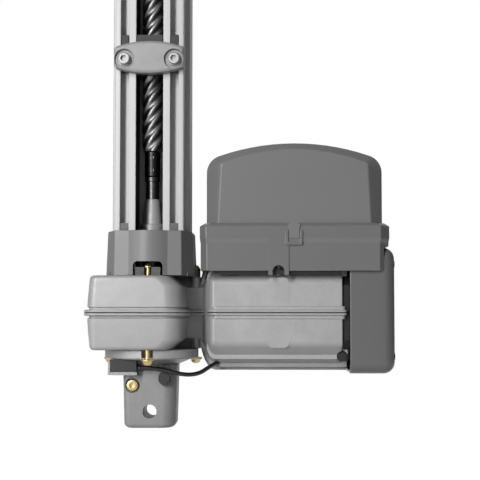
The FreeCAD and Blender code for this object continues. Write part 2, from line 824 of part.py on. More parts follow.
def cover_tray():
    """Open tray: skirt over the motor's top, floor for the board and a sloping rim."""
    band_bottom = tray_shoulder - band_height
    skirt = Part.Face(tray_outline(tray_band, plan(tray_bottom))).extrude(vec(0, 0, band_bottom - tray_bottom))
    band = Part.Face(tray_outline(0, plan(band_bottom))).extrude(vec(0, 0, band_height))
    rim = loft(tray_outline(0, plan(tray_shoulder)), tray_outline(dome_left - tray_left - 0.6, plan(tray_top)))
    pad = prism(rectangle(boss_place - 8.4, boss_place + 8.4, tray_bottom - 3, band_bottom),
                front(-tray_front), vec(0, tray_wall + tray_band, 0))
    frame_half = snap_width / 2 + 3.2
    frame = box(snap_place - frame_half, snap_place + frame_half, -tray_front - 1.8, -tray_front,
                band_bottom - 4.6, tray_shoulder - 3.6)
    cable_spigot = rod_y(9.0, tray_back - tray_wall, tray_back + 1.0, gland_place(), gland_height())
    under = Part.Face(tray_outline(tray_wall, plan(tray_bottom - 1))).extrude(
        vec(0, 0, tray_floor - tray_bottom + 1))
    inside = Part.Face(tray_outline(tray_wall, plan(tray_floor + tray_wall))).extrude(
        vec(0, 0, tray_shoulder - tray_wall - tray_floor - tray_wall))
    mouth = Part.Face(dome_outline(seat_gap, plan(tray_floor + tray_wall))).extrude(vec(0, 0, beyond))
    cap_room = box(cap_start - 2, tray_right + 1, motor_axis_y - cap_half_depth - 2 * seat_gap,
                   motor_axis_y + cap_half_depth + 2 * seat_gap, 0,
                   cap_middle + cap_half_height + 2 * seat_gap)
    notch = fuse([rod_y(5.0, -tray_front - 3, -tray_front + 4, boss_place, tray_bottom - 0.4),
                  box(boss_place - 5, boss_place + 5, -tray_front - 3, -tray_front + 4,
                      tray_bottom - 10, tray_bottom - 0.4)])
    tongue_room = snap_width / 2 + seat_gap
    frame_cut = box(snap_place - tongue_room, snap_place + tongue_room, -tray_front - 3, -tray_front,
                    band_bottom - 2.2, tray_shoulder)
    gland_hole = rod_y(5.0, tray_back - 10, tray_back + 5, gland_place(), gland_height())
    stud_sockets = [rod_z(bolt_diameter / 2 + running_gap, tray_floor - 1, tray_floor + 1.5, x, y)
                    for x, y in stud_places()]
    body = fuse([skirt, band, rim, pad, frame, cable_spigot])
    return body.cut([under, inside, mouth, cap_room, notch, frame_cut, gland_hole] + stud_sockets)


def gland_place():
    return (tray_left + tray_right) / 2 + 30


def gland_height():
    return tray_floor + tray_wall + 6.5


def stud_places():
    return bolt_places()[:2]


def tray_studs():
    """Threaded studs on the two motor bolts that carry the tray's floor."""
    return Part.makeCompound([
        rod_z(bolt_diameter / 2, case_top - 0.5, tray_floor + 1.4, x, y).fuse(
            rod_z(bolt_diameter * 0.8, tray_floor - 4, tray_floor, x, y))
        for x, y in stud_places()])


def crest(half, slope):
    """Corner height, rounding radius and true height of an arch over a half width."""
    angle = math.radians(slope)
    corner = half * math.tan(angle)
    run = 0.85 * half / math.cos(angle)
    return corner, run / math.tan(angle), corner - run * math.tan(angle / 2)


def dome_body(inset):
    """Dome: arched front outline run back over the tray, with all outer edges rounded."""
    left, right = dome_left + inset, dome_right - inset
    front_y, back_y = -dome_front + inset, dome_back - inset
    bottom = tray_floor + tray_wall + seat_gap - (1 if inset else 0)
    corner, radius, rise = crest((right - left) / 2, dome_slope)
    eaves = dome_top - inset - rise
    body = prism([(left, bottom, 0), (right, bottom, 0), (right, eaves, dome_edge_round),
                  ((left + right) / 2, eaves + corner, radius), (left, eaves, dome_edge_round)],
                 front(front_y), vec(0, back_y - front_y, 0))
    face_edges = [edge for edge in body.Edges
                  if edge.BoundBox.YLength < 0.01 and edge.BoundBox.ZMax > bottom + 1]
    if inset:
        return body.makeChamfer(dome_round / 2, face_edges)
    return body.makeFillet(dome_round, face_edges)


def dome_cover():
    shell = dome_body(0).cut(dome_body(dome_wall))
    foot = tray_shoulder - band_height + 0.6
    reach = tray_front + snap_thickness
    tongue = fuse([
        box(snap_place - snap_width / 2, snap_place + snap_width / 2, -reach, -tray_front - seat_gap + 0.3,
            foot, tray_top + 2.0),
        box(snap_place - snap_width / 2, snap_place + snap_width / 2, -reach, -dome_front + 1,
            tray_top + seat_gap, tray_top + 2.0)])
    return shell.fuse(tongue).removeSplitter()


def board_bounds():
    return dome_left + 12, dome_right - 14, -dome_front + 10, dome_back - 10


def board_level():
    return tray_floor + tray_wall + standoff_height


def control_board():
    x0, x1, y0, y1 = board_bounds()
    level = board_level()
    return box(x0, x1, y0, y1, level, level + board_thickness)


def board_standoffs():
    x0, x1, y0, y1 = board_bounds()
    floor = tray_floor + tray_wall
    return Part.makeCompound([rod_z(3.5, floor, board_level(), x, y)
                              for x in (x0 + 6, x1 - 6) for y in (y0 + 6, y1 - 6)])


def transformer():
    """Laminated core with a wound bobbin through it."""
    x0, _, y0, _ = board_bounds()
    z0 = board_level() + board_thickness
    core = box(x0 + 8, x0 + 50, y0 + 14, y0 + 34, z0, z0 + 35)
    bobbin = box(x0 + 15, x0 + 43, y0 + 5, y0 + 43, z0, z0 + 28)
    return fuse([core, bobbin])


def run_capacitor():
    """Round can lying along the board, with a crimped shoulder at its lead end."""
    x0, x1, _, y1 = board_bounds()
    radius = capacitor_diameter / 2
    end, y = x1 - 4, y1 - radius - 3
    z = board_level() + board_thickness + radius
    return fuse([rod_x(radius, end - capacitor_length, end, y, z),
                 rod_x(radius - 3, end - capacitor_length - 3, end, y, z)])


def terminal_block():
    """Row of screw terminals along the board's front edge."""
    _, x1, y0, _ = board_bounds()
    z0 = board_level() + board_thickness
    start = x1 - 4 - terminal_count * terminal_pitch
    body = box(start, x1 - 4, y0 + 1, y0 + 12, z0, z0 + 12)
    wells = [rod_z(2.2, z0 + 7, z0 + 13, start + terminal_pitch * (i + 0.5), y0 + 6.5)
             for i in range(terminal_count)]
    return body.cut(wells)


def relay_pair():
    x0, _, y0, _ = board_bounds()
    z0 = board_level() + board_thickness
    return Part.makeCompound([box(x0 + 54 + 22 * i, x0 + 70 + 22 * i, y0 + 20, y0 + 32, z0, z0 + 16)
                              for i in range(2)])


def cable_gland():
    """Gland in the tray's back wall, with a hexagonal collar and a domed nut."""
    y = tray_back + 1.0
    collar = Part.Face(outline([(gland_place() + 9.5 * math.cos(math.pi * i / 3),
                                 gland_height() + 9.5 * math.sin(math.pi * i / 3), 0)
                                for i in range(6)], front(y))).extrude(vec(0, 5, 0))
    stem = rod_y(5.0, tray_back - 8, y, gland_place(), gland_height())
    nut = Part.makeCone(8.0, 5.0, 8, vec(gland_place(), y + 5, gland_height()), vec(0, 1, 0))
    bore = rod_y(3.2, tray_back - 10, y + 20, gland_place(), gland_height())
    return fuse([collar, stem, nut]).cut(bore)


# Rail foot and socket

def rail_foot():
    """Metal foot plate under the rail, with four ears for its screws and an open slot at the front."""
    ear = ear_size / 2
    plate = box(-rail_wing_width / 2, rail_wing_width / 2, -rail_front_reach, rail_back_reach,
                case_top, rail_bottom)
    ears = [rod_z(ear, case_top, case_top + ear_height, x, y) for x, y in ear_places]
    tab_half = window_width / 2 - 2
    front_tab = box(-tab_half, tab_half, -ear_front_reach - ear, -rail_front_reach - 0.5,
                    case_top, case_top + ear_height)
    links = [box(-ear_reach, ear_reach, side_screw_back - ear, side_screw_back + ear, case_top, rail_bottom),
             box(-ear, ear, -ear_front_reach, ear_front_reach, case_top, rail_bottom)]
    holes = [rod_z(small_screw_diameter / 2 + running_gap, case_top, case_top + ear_height, x, y)
             for x, y in ear_places]
    tab_slot = box(-tab_slot_width / 2, tab_slot_width / 2, -ear_front_reach - ear - 1, -ear_front_reach,
                   case_top, case_top + ear_height)
    shaft_hole = rod_z(hub_foot_diameter / 2 + 3, case_top, rail_bottom)
    return fuse([plate, front_tab] + ears + links).cut(holes + [tab_slot, shaft_hole])


def socket_screws():
    """Screws through the foot's ears into the upper casting."""
    top = case_top + ear_height
    return Part.makeCompound([
        rod_z(small_screw_diameter / 2, case_top - 8, top, x, y).fuse(
            rod_z(small_head_diameter / 2, top, top + small_head_height, x, y))
        for x, y in ear_places])


def socket_plan(z, wall, pull):
    """Outline of the rail socket: crowned front, two flats and slanting cheeks."""
    half = rail_wing_width / 2 + wall
    crown = 16.0
    corner = rail_front_width / 2 - pull / 2
    front_y = -rail_front_reach - socket_front_wall + pull
    cheek_y = rail_back_reach - wing_depth - 8
    back_y = rail_back_reach + socket_back_wall
    return outline([(-half, cheek_y, 3), (-corner, front_y + 1.5, 2), (-crown, front_y, 0),
                    (-crown / 2, front_y - socket_crown * 0.8, 0), (0, front_y - socket_crown, 0),
                    (crown / 2, front_y - socket_crown * 0.8, 0),
                    (crown, front_y, 0), (corner, front_y + 1.5, 2),
                    (half, cheek_y, 3), (half, back_y, 4), (-half, back_y, 4)], plan(z))


def rail_socket():
    """Moulded shroud round the rail's foot, with a window for the front screw."""
    base = case_top + 0.3
    top = base + socket_height
    body = loft(socket_plan(base, socket_foot_wall, 0.0), socket_plan(top, socket_top_wall, 0.8))
    rail_room = prism(rail_outer(0.3), plan(rail_bottom), vec(0, 0, socket_height + 10))
    foot_room = box(-rail_wing_width / 2 - 0.3, rail_wing_width / 2 + 0.3, -rail_front_reach - 0.3,
                    rail_back_reach + 0.3, base - 1, rail_bottom)
    half = window_width / 2
    pocket = box(-half - 1, half + 1, -ear_front_reach - ear_size / 2 - 1.2, -rail_front_reach,
                 base - 1, base + window_height + 2)
    window = prism([(-half, base - 5, 0), (half, base - 5, 0), (half, base + window_height, 3.4),
                    (-half, base + window_height, 3.4)], front(-beyond), vec(0, beyond - ear_front_reach - 2, 0))
    ear = ear_size / 2 + 0.5
    room_top = case_top + ear_height + small_head_height + 1.5
    ear_rooms = [rod_z(ear, base - 1, room_top, x, y) for x, y in ear_places[1:]]
    link_rooms = [box(-ear_reach, ear_reach, side_screw_back - ear, side_screw_back + ear,
                      base - 1, rail_bottom + 0.3),
                  box(-ear, ear, 0, ear_front_reach, base - 1, rail_bottom + 0.3)]
    return body.cut([rail_room, foot_room, pocket, window] + ear_rooms + link_rooms)


# Lower cover, knuckle, sensor and cable

def lower_bearing_cover():
    """Round cover with a stepped foot, notched for its four screws and the sensor."""
    disc = rod_z(cover_diameter / 2, cover_bottom, case_bottom)
    tier = Part.makeCone(tier_foot_diameter / 2, tier_top_diameter / 2, tier_height, vec(0, 0, tier_bottom))
    body = fuse([disc, tier])
    cuts = [rod_z(shaft_diameter / 2 + 8, cover_bottom + 1, case_bottom),
            box(-sensor_left - 2.0, -sensor_left + sensor_width + 5, -sensor_front - 2,
                -sensor_front + sensor_depth + 0.5, 0, cover_bottom)]
    for x, y in cover_screw_places:
        cuts.append(rod_z(5.0, cover_bottom + 1.5, case_bottom, x, y))
        cuts.append(rod_z(small_screw_diameter / 2 + 0.5, cover_bottom - 1, case_bottom, x, y))
        cuts.append(rod_z(cover_head_diameter / 2 + 0.5, 0, cover_bottom, x, y))
    return body.cut(cuts)


def lower_cover_screws():
    """Screws with domed heads under the lower cover."""
    screws = []
    for x, y in cover_screw_places:
        shank = rod_z(small_screw_diameter / 2, cover_bottom, case_bottom + 9, x, y)
        flange = rod_z(cover_head_diameter / 2, cover_bottom - 1.6, cover_bottom, x, y)
        crown = Part.makeCone(cover_head_diameter / 4, cover_head_diameter / 2 - 0.6,
                              cover_head_height - 1.6, vec(x, y, cover_bottom - cover_head_height))
        screws.append(fuse([shank, flange, crown]))
    return Part.makeCompound(screws)


def pivot_knuckle():
    """Tapered cast lug with a cross bore, a round flange on top and a screw pocket."""
    top = tier_bottom
    half, foot_half = knuckle_width / 2, knuckle_foot_width / 2
    deep = knuckle_depth / 2
    block = prism([(-foot_half, -knuckle_foot, knuckle_round), (foot_half, -knuckle_foot, knuckle_round),
                   (half, top, 0), (-half, top, 0)], front(-deep), vec(0, 2 * deep, 0))
    upright = [e for e in block.Edges if e.BoundBox.ZLength > 20]
    block = block.makeChamfer(knuckle_chamfer, upright)
    x, z = knuckle_screw_place()
    pocket = rod_y(6.2, -deep - 1, -deep + 3.5, x, z)
    thread = rod_y(3.0, -deep, -deep + 14, x, z)
    return block.cut([rod_y(pivot_diameter / 2, -deep - 5, deep + 5), pocket, thread])


def knuckle_screw_place():
    return -knuckle_screw_left, tier_bottom - knuckle_screw_drop


def knuckle_screw():
    x, z = knuckle_screw_place()
    deep = knuckle_depth / 2
    head = rod_y(5.2, -deep - 0.6, -deep + 3.5, x, z)
    shank = rod_y(3.0, -deep + 3.5, -deep + 14, x, z)
    return fuse([head, shank]).cut(rod_y(2.2, -deep - 1, -deep + 1.6, x, z))


def sensor_bounds():
    x0 = -sensor_left
    y0 = -sensor_front
    top = cover_bottom - 0.3
    return x0, x0 + sensor_width, y0, y0 + sensor_depth, top - sensor_height, top


def pulse_sensor():
    """Sensor body clipped in its bracket, with a rounded cable outlet at the right."""
    x0, x1, y0, y1, z0, z1 = sensor_bounds()
    body = box(x0, x1, y0, y1, z0, z1)
    body = body.makeFillet(0.8, [e for e in body.Edges if e.BoundBox.ZLength > 5])
    start = cable_route()[0]
    outlet = rod_x(cable_diameter / 2 + 1, x1, start.x, start.y, start.z)
    return body.fuse(outlet).removeSplitter()


def sensor_bracket():
    """Sheet-metal seat under and behind the sensor, screwed flat to the knuckle's front."""
    x0, x1, y0, y1, z0, _ = sensor_bounds()
    deep = knuckle_depth / 2
    floor = box(x0 - 1.6, x1, y0, y1, z0 - 2.6, z0)
    left = box(x0 - 1.6, x0, y0, y1, z0, z0 + sensor_height - 1)
    body = fuse([floor, left])
    return body.cut(box(-knuckle_width / 2 - 0.2, knuckle_width, -deep - 0.2, deep, 0, cover_bottom))


def cable_route():
    """Points of the sensor cable, from the sensor to its hole in the lower casting."""
    start = sensor_bounds()[1] + sensor_outlet_length
    places = [(start, -23.5, 7.5), (3.0, -23.5, 7.5), (14.0, -23.6, 9.6), (25.0, -23.2, 12.4),
              (35.0, -20.0, 13.7), (43.5, -12.0, 12.2), (50.5, 0.0, 7.4), (58.0, 12.0, 3.8)]
    return [vec(x, y, cover_bottom - drop) for x, y, drop in places]


def cable_path(points):
    """Straight runs joined by tangent arcs, each as large as its two runs allow."""
    edges = []
    start = points[0]
    for before, corner, after in zip(points, points[1:], points[2:]):
        to_before, to_after = before - corner, after - corner
        reach = 0.45 * min(to_before.Length, to_after.Length)
        half_angle = to_before.getAngle(to_after) / 2
        radius = reach * math.tan(half_angle)
        to_before.normalize()
        to_after.normalize()
        inward = (to_before + to_after).normalize()
        middle = corner + inward * (radius / math.sin(half_angle) - radius)
        edges.append(Part.LineSegment(start, corner + to_before * reach).toShape())
        edges.append(Part.Arc(corner + to_before * reach, middle, corner + to_after * reach).toShape())
        start = corner + to_after * reach
        print("cable bend radius", round(radius, 1))
    edges.append(Part.LineSegment(start, points[-1]).toShape())
    return Part.Wire(edges)


def sensor_cable():
    path = cable_path(cable_route())
    start = cable_route()[0]
    along = cable_route()[1] - start
    section = Part.Wire([Part.Circle(start, along, cable_diameter / 2).toShape()])
    tube = path.makePipeShell([section], True, False)
    print("cable length", round(path.Length, 1))
    return tube


def cable_clip():
    """Eyelet clip on the knuckle's front, with the cable lying in its upper loop."""
    deep = knuckle_depth / 2
    x, z = clip_place, tier_bottom - clip_drop
    eye = rod_y(6.4, -deep - clip_thickness, -deep, x, z)
    hook = box(x - 3.0, x + 3.0, -deep - clip_thickness, -deep, z, tier_bottom)
    return fuse([eye, hook]).cut(rod_y(small_screw_diameter / 2, -deep - 3, -deep, x, z))


def clip_screw():
    deep = knuckle_depth / 2
    x, z = clip_place, tier_bottom - clip_drop
    head = rod_y(small_head_diameter / 2, -deep - clip_thickness - 2, -deep - clip_thickness, x, z)
    return head.fuse(rod_y(small_screw_diameter / 2, -deep - clip_thickness, -deep, x, z))


# Carriage

def drive_nut():
    """Nut round the screw in the channel, with a neck through the slot."""
    z0 = carriage_height - shoe_length + shoe_lift
    z1 = carriage_height + shoe_lift
    half = channel_width / 2 - slide_gap
    neck_half = slot_width / 2 - slide_gap
    back_y = rail_back_reach - rail_back_wall - slide_gap - 6
    body = box(-half, half, -rail_front_reach + rail_wall + slide_gap, back_y, z0, z1)
    body = body.makeChamfer(2.0, [e for e in body.Edges if e.BoundBox.ZLength > 5 and e.BoundBox.YMin > 0])
    neck = box(-neck_half, neck_half, -rail_front_reach - plate_gap, 0, z0, z1)
    bore = rod_z(screw_diameter / 2 + running_gap, z0, z1)
    return fuse([body, neck]).cut(bore)


def plate_screw_places():
    return [(-groove_middle, carriage_height - plate_screw_drop),
            (groove_middle, carriage_height - plate_screw_drop)]


def carriage_plate():
    """Plate with crowned top and bottom edges, a bevelled rim and two screw wells."""
    back_y = -rail_front_reach - plate_gap
    half_width = plate_width / 2

    def face(inset, y):
        half = half_width - inset
        end = plate_end_height / 2 - inset
        z = carriage_height
        corner, radius, _ = crest(half, plate_slope)
        return outline([(-half, z - end, 3.2), (0, z - end - corner, radius), (half, z - end, 3.2),
                        (half, z + end, 3.2), (0, z + end + corner, radius), (-half, z + end, 3.2)], front(y))

    bevel = 1.6
    rim_y = back_y - plate_thickness + bevel
    slab = Part.Face(face(0, back_y)).extrude(vec(0, rim_y - back_y, 0))
    crown = loft(face(0, rim_y), face(bevel, back_y - plate_thickness))
    cuts = []
    for x, z in plate_screw_places():
        cuts.append(rod_y(8.0, back_y - plate_thickness - 1, back_y - plate_thickness + 3, x, z))
        cuts.append(rod_y(plate_screw_diameter / 2 + 0.2, back_y - plate_thickness, back_y, x, z))
    return fuse([slab, crown]).cut(cuts)


def guide_shoes():
    """T-shaped shoes that run in the two grooves and carry the plate's screws."""
    z0 = carriage_height - shoe_length + shoe_lift
    z1 = carriage_height + shoe_lift
    half_mouth = groove_mouth / 2 - slide_gap
    half_inside = groove_inside / 2 - slide_gap
    plate_back = -rail_front_reach - plate_gap
    lip_back = -rail_front_reach + groove_lip + slide_gap
    floor = -rail_front_reach + groove_depth - slide_gap
    stem = box(groove_middle - half_mouth, groove_middle + half_mouth, plate_back, lip_back, z0, z1)
    bar = box(groove_middle - half_inside, groove_middle + half_inside, lip_back, floor, z0, z1)
    hole = rod_y(plate_screw_diameter / 2, plate_back - 1, floor - 1, groove_middle,
                 carriage_height - plate_screw_drop)
    shoe = fuse([stem, bar]).cut(hole)
    return Part.makeCompound([shoe, mirrored_x(shoe)])


def plate_well_floor():
    return -rail_front_reach - plate_gap - plate_thickness + 3


def plate_washers():
    y = plate_well_floor()
    return Part.makeCompound([
        rod_y(5.8, y - 1, y, x, z).cut(rod_y(plate_screw_diameter / 2 + 0.2, y - 1, y, x, z))
        for x, z in plate_screw_places()])


def plate_screws():
    """Socket-head screws through the plate into the shoes."""
    y = plate_well_floor() - 1
    tip = -rail_front_reach + groove_depth - slide_gap - 2
    screws = []
    for x, z in plate_screw_places():
        head = rod_y(plate_screw_diameter * 0.83, y - plate_screw_diameter * 0.8, y, x, z)
        shank = rod_y(plate_screw_diameter / 2, y, tip, x, z)
        socket = prism([(x + 2.9 * math.cos(math.pi * i / 3), z + 2.9 * math.sin(math.pi * i / 3), 0)
                        for i in range(6)], front(y - 6), vec(0, 4, 0))
        screws.append(fuse([head, shank]).cut(socket))
    return Part.makeCompound(screws)


def build():
    half = half_casting()
    nodes = {
        "rail": rail(),
        "rail_clamp_blocks": rail_clamp_blocks(),
        "rail_end_block": rail_end_block(),
        "rail_end_bush": rail_end_bush(),
        "rail_end_screws": rail_end_screws(),
        "rail_foot": rail_foot(),
        "rail_socket": rail_socket(),
        "socket_screws": socket_screws(),
        "upper_housing": upper_housing(half),
        "lower_housing": lower_housing(half),
        "housing_gasket": housing_gasket(half),
        "housing_bolts": housing_bolts(),
        "motor_end_shield": motor_end_shield(),
        "stator_core": stator_core(),
        "stator_windings": stator_windings(),
        "motor_bearings": motor_bearings(),
        "output_bearings": output_bearings(),
        "oil_seal": oil_seal(),
        "end_seal": end_seal(),
        "end_cap": end_cap(),
        "end_cap_screws": end_cap_screws(),
        "cover_tray": cover_tray(),
        "tray_studs": tray_studs(),
        "control_board": control_board(),
        "board_standoffs": board_standoffs(),
        "transformer": transformer(),
        "run_capacitor": run_capacitor(),
        "terminal_block": terminal_block(),
        "relay_pair": relay_pair(),
        "cable_gland": cable_gland(),
        "lower_bearing_cover": lower_bearing_cover(),
        "lower_cover_screws": lower_cover_screws(),
        "pivot_knuckle": pivot_knuckle(),
        "knuckle_screw": knuckle_screw(),
        "pulse_sensor": pulse_sensor(),
        "sensor_bracket": sensor_bracket(),
        "sensor_cable": sensor_cable(),
        "cable_clip": cable_clip(),
        "clip_screw": clip_screw(),
        "lead_screw": lead_screw(),
        "coupling_sleeve": coupling_sleeve(),
        "sleeve_pins": sleeve_pins(),
        "output_shaft": output_shaft(),
        "shaft_hub": shaft_hub(),
        "worm_wheel": worm_wheel(),
        "wheel_key": wheel_key(),
        "magnet_disc": magnet_disc(),
        "worm_shaft": worm_shaft(),
        "rotor_core": rotor_core(),
        "cooling_fan": cooling_fan(),
        "drive_nut": drive_nut(),
        "carriage_plate": carriage_plate(),
        "guide_shoes": guide_shoes(),
        "plate_washers": plate_washers(),
        "plate_screws": plate_screws(),
        "dome_cover": dome_cover(),
    }
    return nodes


os.makedirs("parts", exist_ok=True)
for name, shape in build().items():
    if not shape.isValid():
        print("not valid:", name)
    print(name, len(shape.Solids), round(shape.Volume))
    shape.exportStep(f"parts/{name}.step")
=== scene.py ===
import bpy
import bmesh
import math
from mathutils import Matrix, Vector


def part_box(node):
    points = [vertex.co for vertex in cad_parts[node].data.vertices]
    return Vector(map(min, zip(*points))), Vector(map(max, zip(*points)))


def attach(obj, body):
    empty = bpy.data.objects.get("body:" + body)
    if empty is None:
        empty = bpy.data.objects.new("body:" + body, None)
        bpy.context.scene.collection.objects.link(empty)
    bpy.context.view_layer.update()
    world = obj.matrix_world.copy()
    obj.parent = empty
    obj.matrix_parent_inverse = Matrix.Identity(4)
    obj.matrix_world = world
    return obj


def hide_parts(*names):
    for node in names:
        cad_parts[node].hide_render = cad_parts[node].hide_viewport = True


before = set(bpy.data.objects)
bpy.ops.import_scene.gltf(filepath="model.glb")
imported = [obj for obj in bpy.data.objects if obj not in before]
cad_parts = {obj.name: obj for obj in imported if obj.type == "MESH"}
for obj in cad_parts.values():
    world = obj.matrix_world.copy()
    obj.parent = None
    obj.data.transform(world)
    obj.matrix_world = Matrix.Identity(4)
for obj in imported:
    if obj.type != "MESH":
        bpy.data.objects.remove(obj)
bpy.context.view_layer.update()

# Lengths below are in millimetres in the frame of the CAD model, and become metres in piece().
mm = 0.001


class Extent:
    """The box of a CAD node at rest, in millimetres."""

    def __init__(self, node):
        low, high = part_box(node)
        self.x0, self.y0, self.z0 = (value / mm for value in low)
        self.x1, self.y1, self.z1 = (value / mm for value in high)
        self.x = (self.x0 + self.x1) / 2
        self.y = (self.y0 + self.y1) / 2
        self.z = (self.z0 + self.z1) / 2


# Outlines

def rounded(corners, steps=5):
    """Points of a closed outline through corners (u, v, radius), where a radius of 0 is one point."""
    points = []
    for i, (u, v, radius) in enumerate(corners):
        corner = Vector((u, v))
        before = (Vector(corners[i - 1][:2]) - corner).normalized()
        after = (Vector(corners[(i + 1) % len(corners)][:2]) - corner).normalized()
        half = before.angle(after) / 2
        if radius <= 0 or half > math.pi / 2 - 1e-4:
            points.append(corner)
            continue
        centre = corner + (before + after).normalized() * (radius / math.sin(half))
        reach = radius / math.tan(half)
        start = corner + before * reach - centre
        end = corner + after * reach - centre
        turn = start.angle_signed(end)
        for step in range(steps + 1):
            angle = math.atan2(start.y, start.x) - turn * step / steps
            points.append(centre + Vector((math.cos(angle), math.sin(angle))) * radius)
    return points


def rectangle(u0, u1, v0, v1, radius=0.0):
    return [(u0, v0, radius), (u1, v0, radius), (u1, v1, radius), (u0, v1, radius)]


def rectangle_points(u0, u1, v0, v1):
    """A rectangle with corners broken by a hair."""
    return rounded(rectangle(u0, u1, v0, v1, 0.01), 1)


def mirrored(corners):
    """Corners on one side of u = 0, then the same ones on the other side."""
    return corners + [(-u, v, radius) for u, v, radius in reversed(corners)]


def circle(u, v, radius, count=48):
    return [Vector((u + radius * math.cos(2 * math.pi * i / count),
                    v + radius * math.sin(2 * math.pi * i / count))) for i in range(count)]


def shallow_arch(half, slope):
    """Rise of the corner over a half width, the radius that rounds it, and the height that is left."""
    angle = math.radians(slope)
    rise = half * math.tan(angle)
    run = 0.85 * half / math.cos(angle)
    return rise, run / math.tan(angle), rise - run * math.tan(angle / 2)


def level(points, z):
    """An outline laid flat at a height. The next two stand it up at a depth, or at a place along X."""
    return [Vector((p.x, p.y, z)) for p in points]


def across_y(points, y):
    return [Vector((p.x, y, p.y)) for p in points]


def across_x(points, x):
    return [Vector((x, p.x, p.y)) for p in points]


# What places an outline square to each axis
across = {"z": level, "y": across_y, "x": across_x}


# Meshes

def added(name, data):
    """A new object in the scene."""
    made = bpy.data.objects.new(name, data)
    bpy.context.scene.collection.objects.link(made)
    return made


def piece(name, points, faces):
    """A new object from points in millimetres."""
    mesh = bpy.data.meshes.new(name)
    mesh.from_pydata([p * mm for p in points], [], faces)
    solid = bmesh.new()
    solid.from_mesh(mesh)
    bmesh.ops.remove_doubles(solid, verts=solid.verts, dist=1e-6)
    bmesh.ops.recalc_face_normals(solid, faces=solid.faces)
    solid.to_mesh(mesh)
    solid.free()
    return added(name, mesh)


def loft(name, rings, closed=False):
    """Skin over rings of equal length, capped at both ends, or joined end to end."""
    count = len(rings[0])
    points = [p for ring in rings for p in ring]
    faces = []
    spans = len(rings) if closed else len(rings) - 1
    for k in range(spans):
        low, high = k * count, (k + 1) % len(rings) * count
        for i in range(count):
            j = (i + 1) % count
            faces.append((low + i, low + j, high + j, high + i))
    if not closed:
        faces.append(tuple(range(count)))
        faces.append(tuple(range(len(points) - count, len(points))))
    return piece(name, points, faces)


def slab(name, points, place, start, end):
    """A flat outline run from start to end along the axis that place leaves free."""
    return loft(name, [place(points, start), place(points, end)])


def turned_rings(profile, axis, centre, count):
    """Circles about an axis. The profile is a list of (radius, place along the axis)."""
    return [[p + Vector(centre) for p in across[axis](circle(0, 0, max(radius, 0.01), count), along)]
            for radius, along in profile]


def lathe(name, profile, axis="z", centre=(0, 0, 0), count=64):
    """A turned piece."""
    return loft(name, turned_rings(profile, axis, centre, count))


def tube(name, outer, inner, start, end, axis="z", centre=(0, 0, 0), edge=0.4):
    """A turned ring with broken edges."""
    profile = [(inner, start + edge), (inner + edge, start), (outer - edge, start), (outer, start + edge),
               (outer, end - edge), (outer - edge, end), (inner + edge, end), (inner, end - edge)]
    return loft(name, turned_rings(profile, axis, centre, 48), closed=True)


def round_pin(radius, start, end, edge=0.4):
    """Profile of a rod with broken edges."""
    return [(0, start), (radius - edge, start), (radius, start + edge), (radius, end - edge),
            (radius - edge, end), (0, end)]


def applied(made):
    """Bakes a piece's modifiers into its mesh."""
    graph = bpy.context.evaluated_depsgraph_get()
    mesh = bpy.data.meshes.new_from_object(made.evaluated_get(graph))
    made.modifiers.clear()
    made.data = mesh
    return made


def joined(name, parts):
    """One piece from several, which are used up."""
    whole = bmesh.new()
    for part in parts:
        whole.from_mesh(part.data)
        bpy.data.objects.remove(part)
    mesh = bpy.data.meshes.new(name)
    whole.to_mesh(mesh)
    whole.free()
    return added(name, mesh)


def combined(made, others, operation):
    """Boolean of a piece with others, which are used up."""
    for other in others:
        modifier = made.modifiers.new("boolean", "BOOLEAN")
        modifier.operation = operation
        modifier.solver = "EXACT"
        modifier.object = other
    applied(made)
    for other in others:
        bpy.data.objects.remove(other)
    return made


def cut(made, others):
    return combined(made, others, "DIFFERENCE")


def fused(made, others):
    return combined(made, others, "UNION")


def softened(made, width, segments=2, angle=28):
    """Rounds a piece's sharp edges."""
    modifier = made.modifiers.new("bevel", "BEVEL")
    modifier.width = width * mm
    modifier.segments = segments
    modifier.limit_method = "ANGLE"
    modifier.angle_limit = math.radians(angle)
    modifier.use_clamp_overlap = True
    return applied(made)


def dress(made, material, body, nodes=(), sharp=38):
    """Shades a piece, gives it its material and body, and hides the CAD nodes that it stands for."""
    mesh = made.data
    mesh.materials.clear()
    mesh.materials.append(material)
    for face in mesh.polygons:
        face.use_smooth = True
        face.material_index = 0
    mesh.set_sharp_from_angle(angle=math.radians(sharp))
    modifier = made.modifiers.new("normals", "WEIGHTED_NORMAL")
    modifier.keep_sharp = True
    applied(made)
    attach(made, body)
    if nodes:
        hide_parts(*nodes)


# Materials

def grey(value):
    """Linear colour for a display grey from 0 to 1."""
    linear = value / 12.92 if value <= 0.04045 else ((value + 0.055) / 1.055) ** 2.4
    return (linear, linear, linear, 1.0)


def tinted(red, green, blue):
    """Linear colour for display red, green and blue from 0 to 1."""
    return tuple(grey(channel)[0] for channel in (red, green, blue)) + (1.0,)


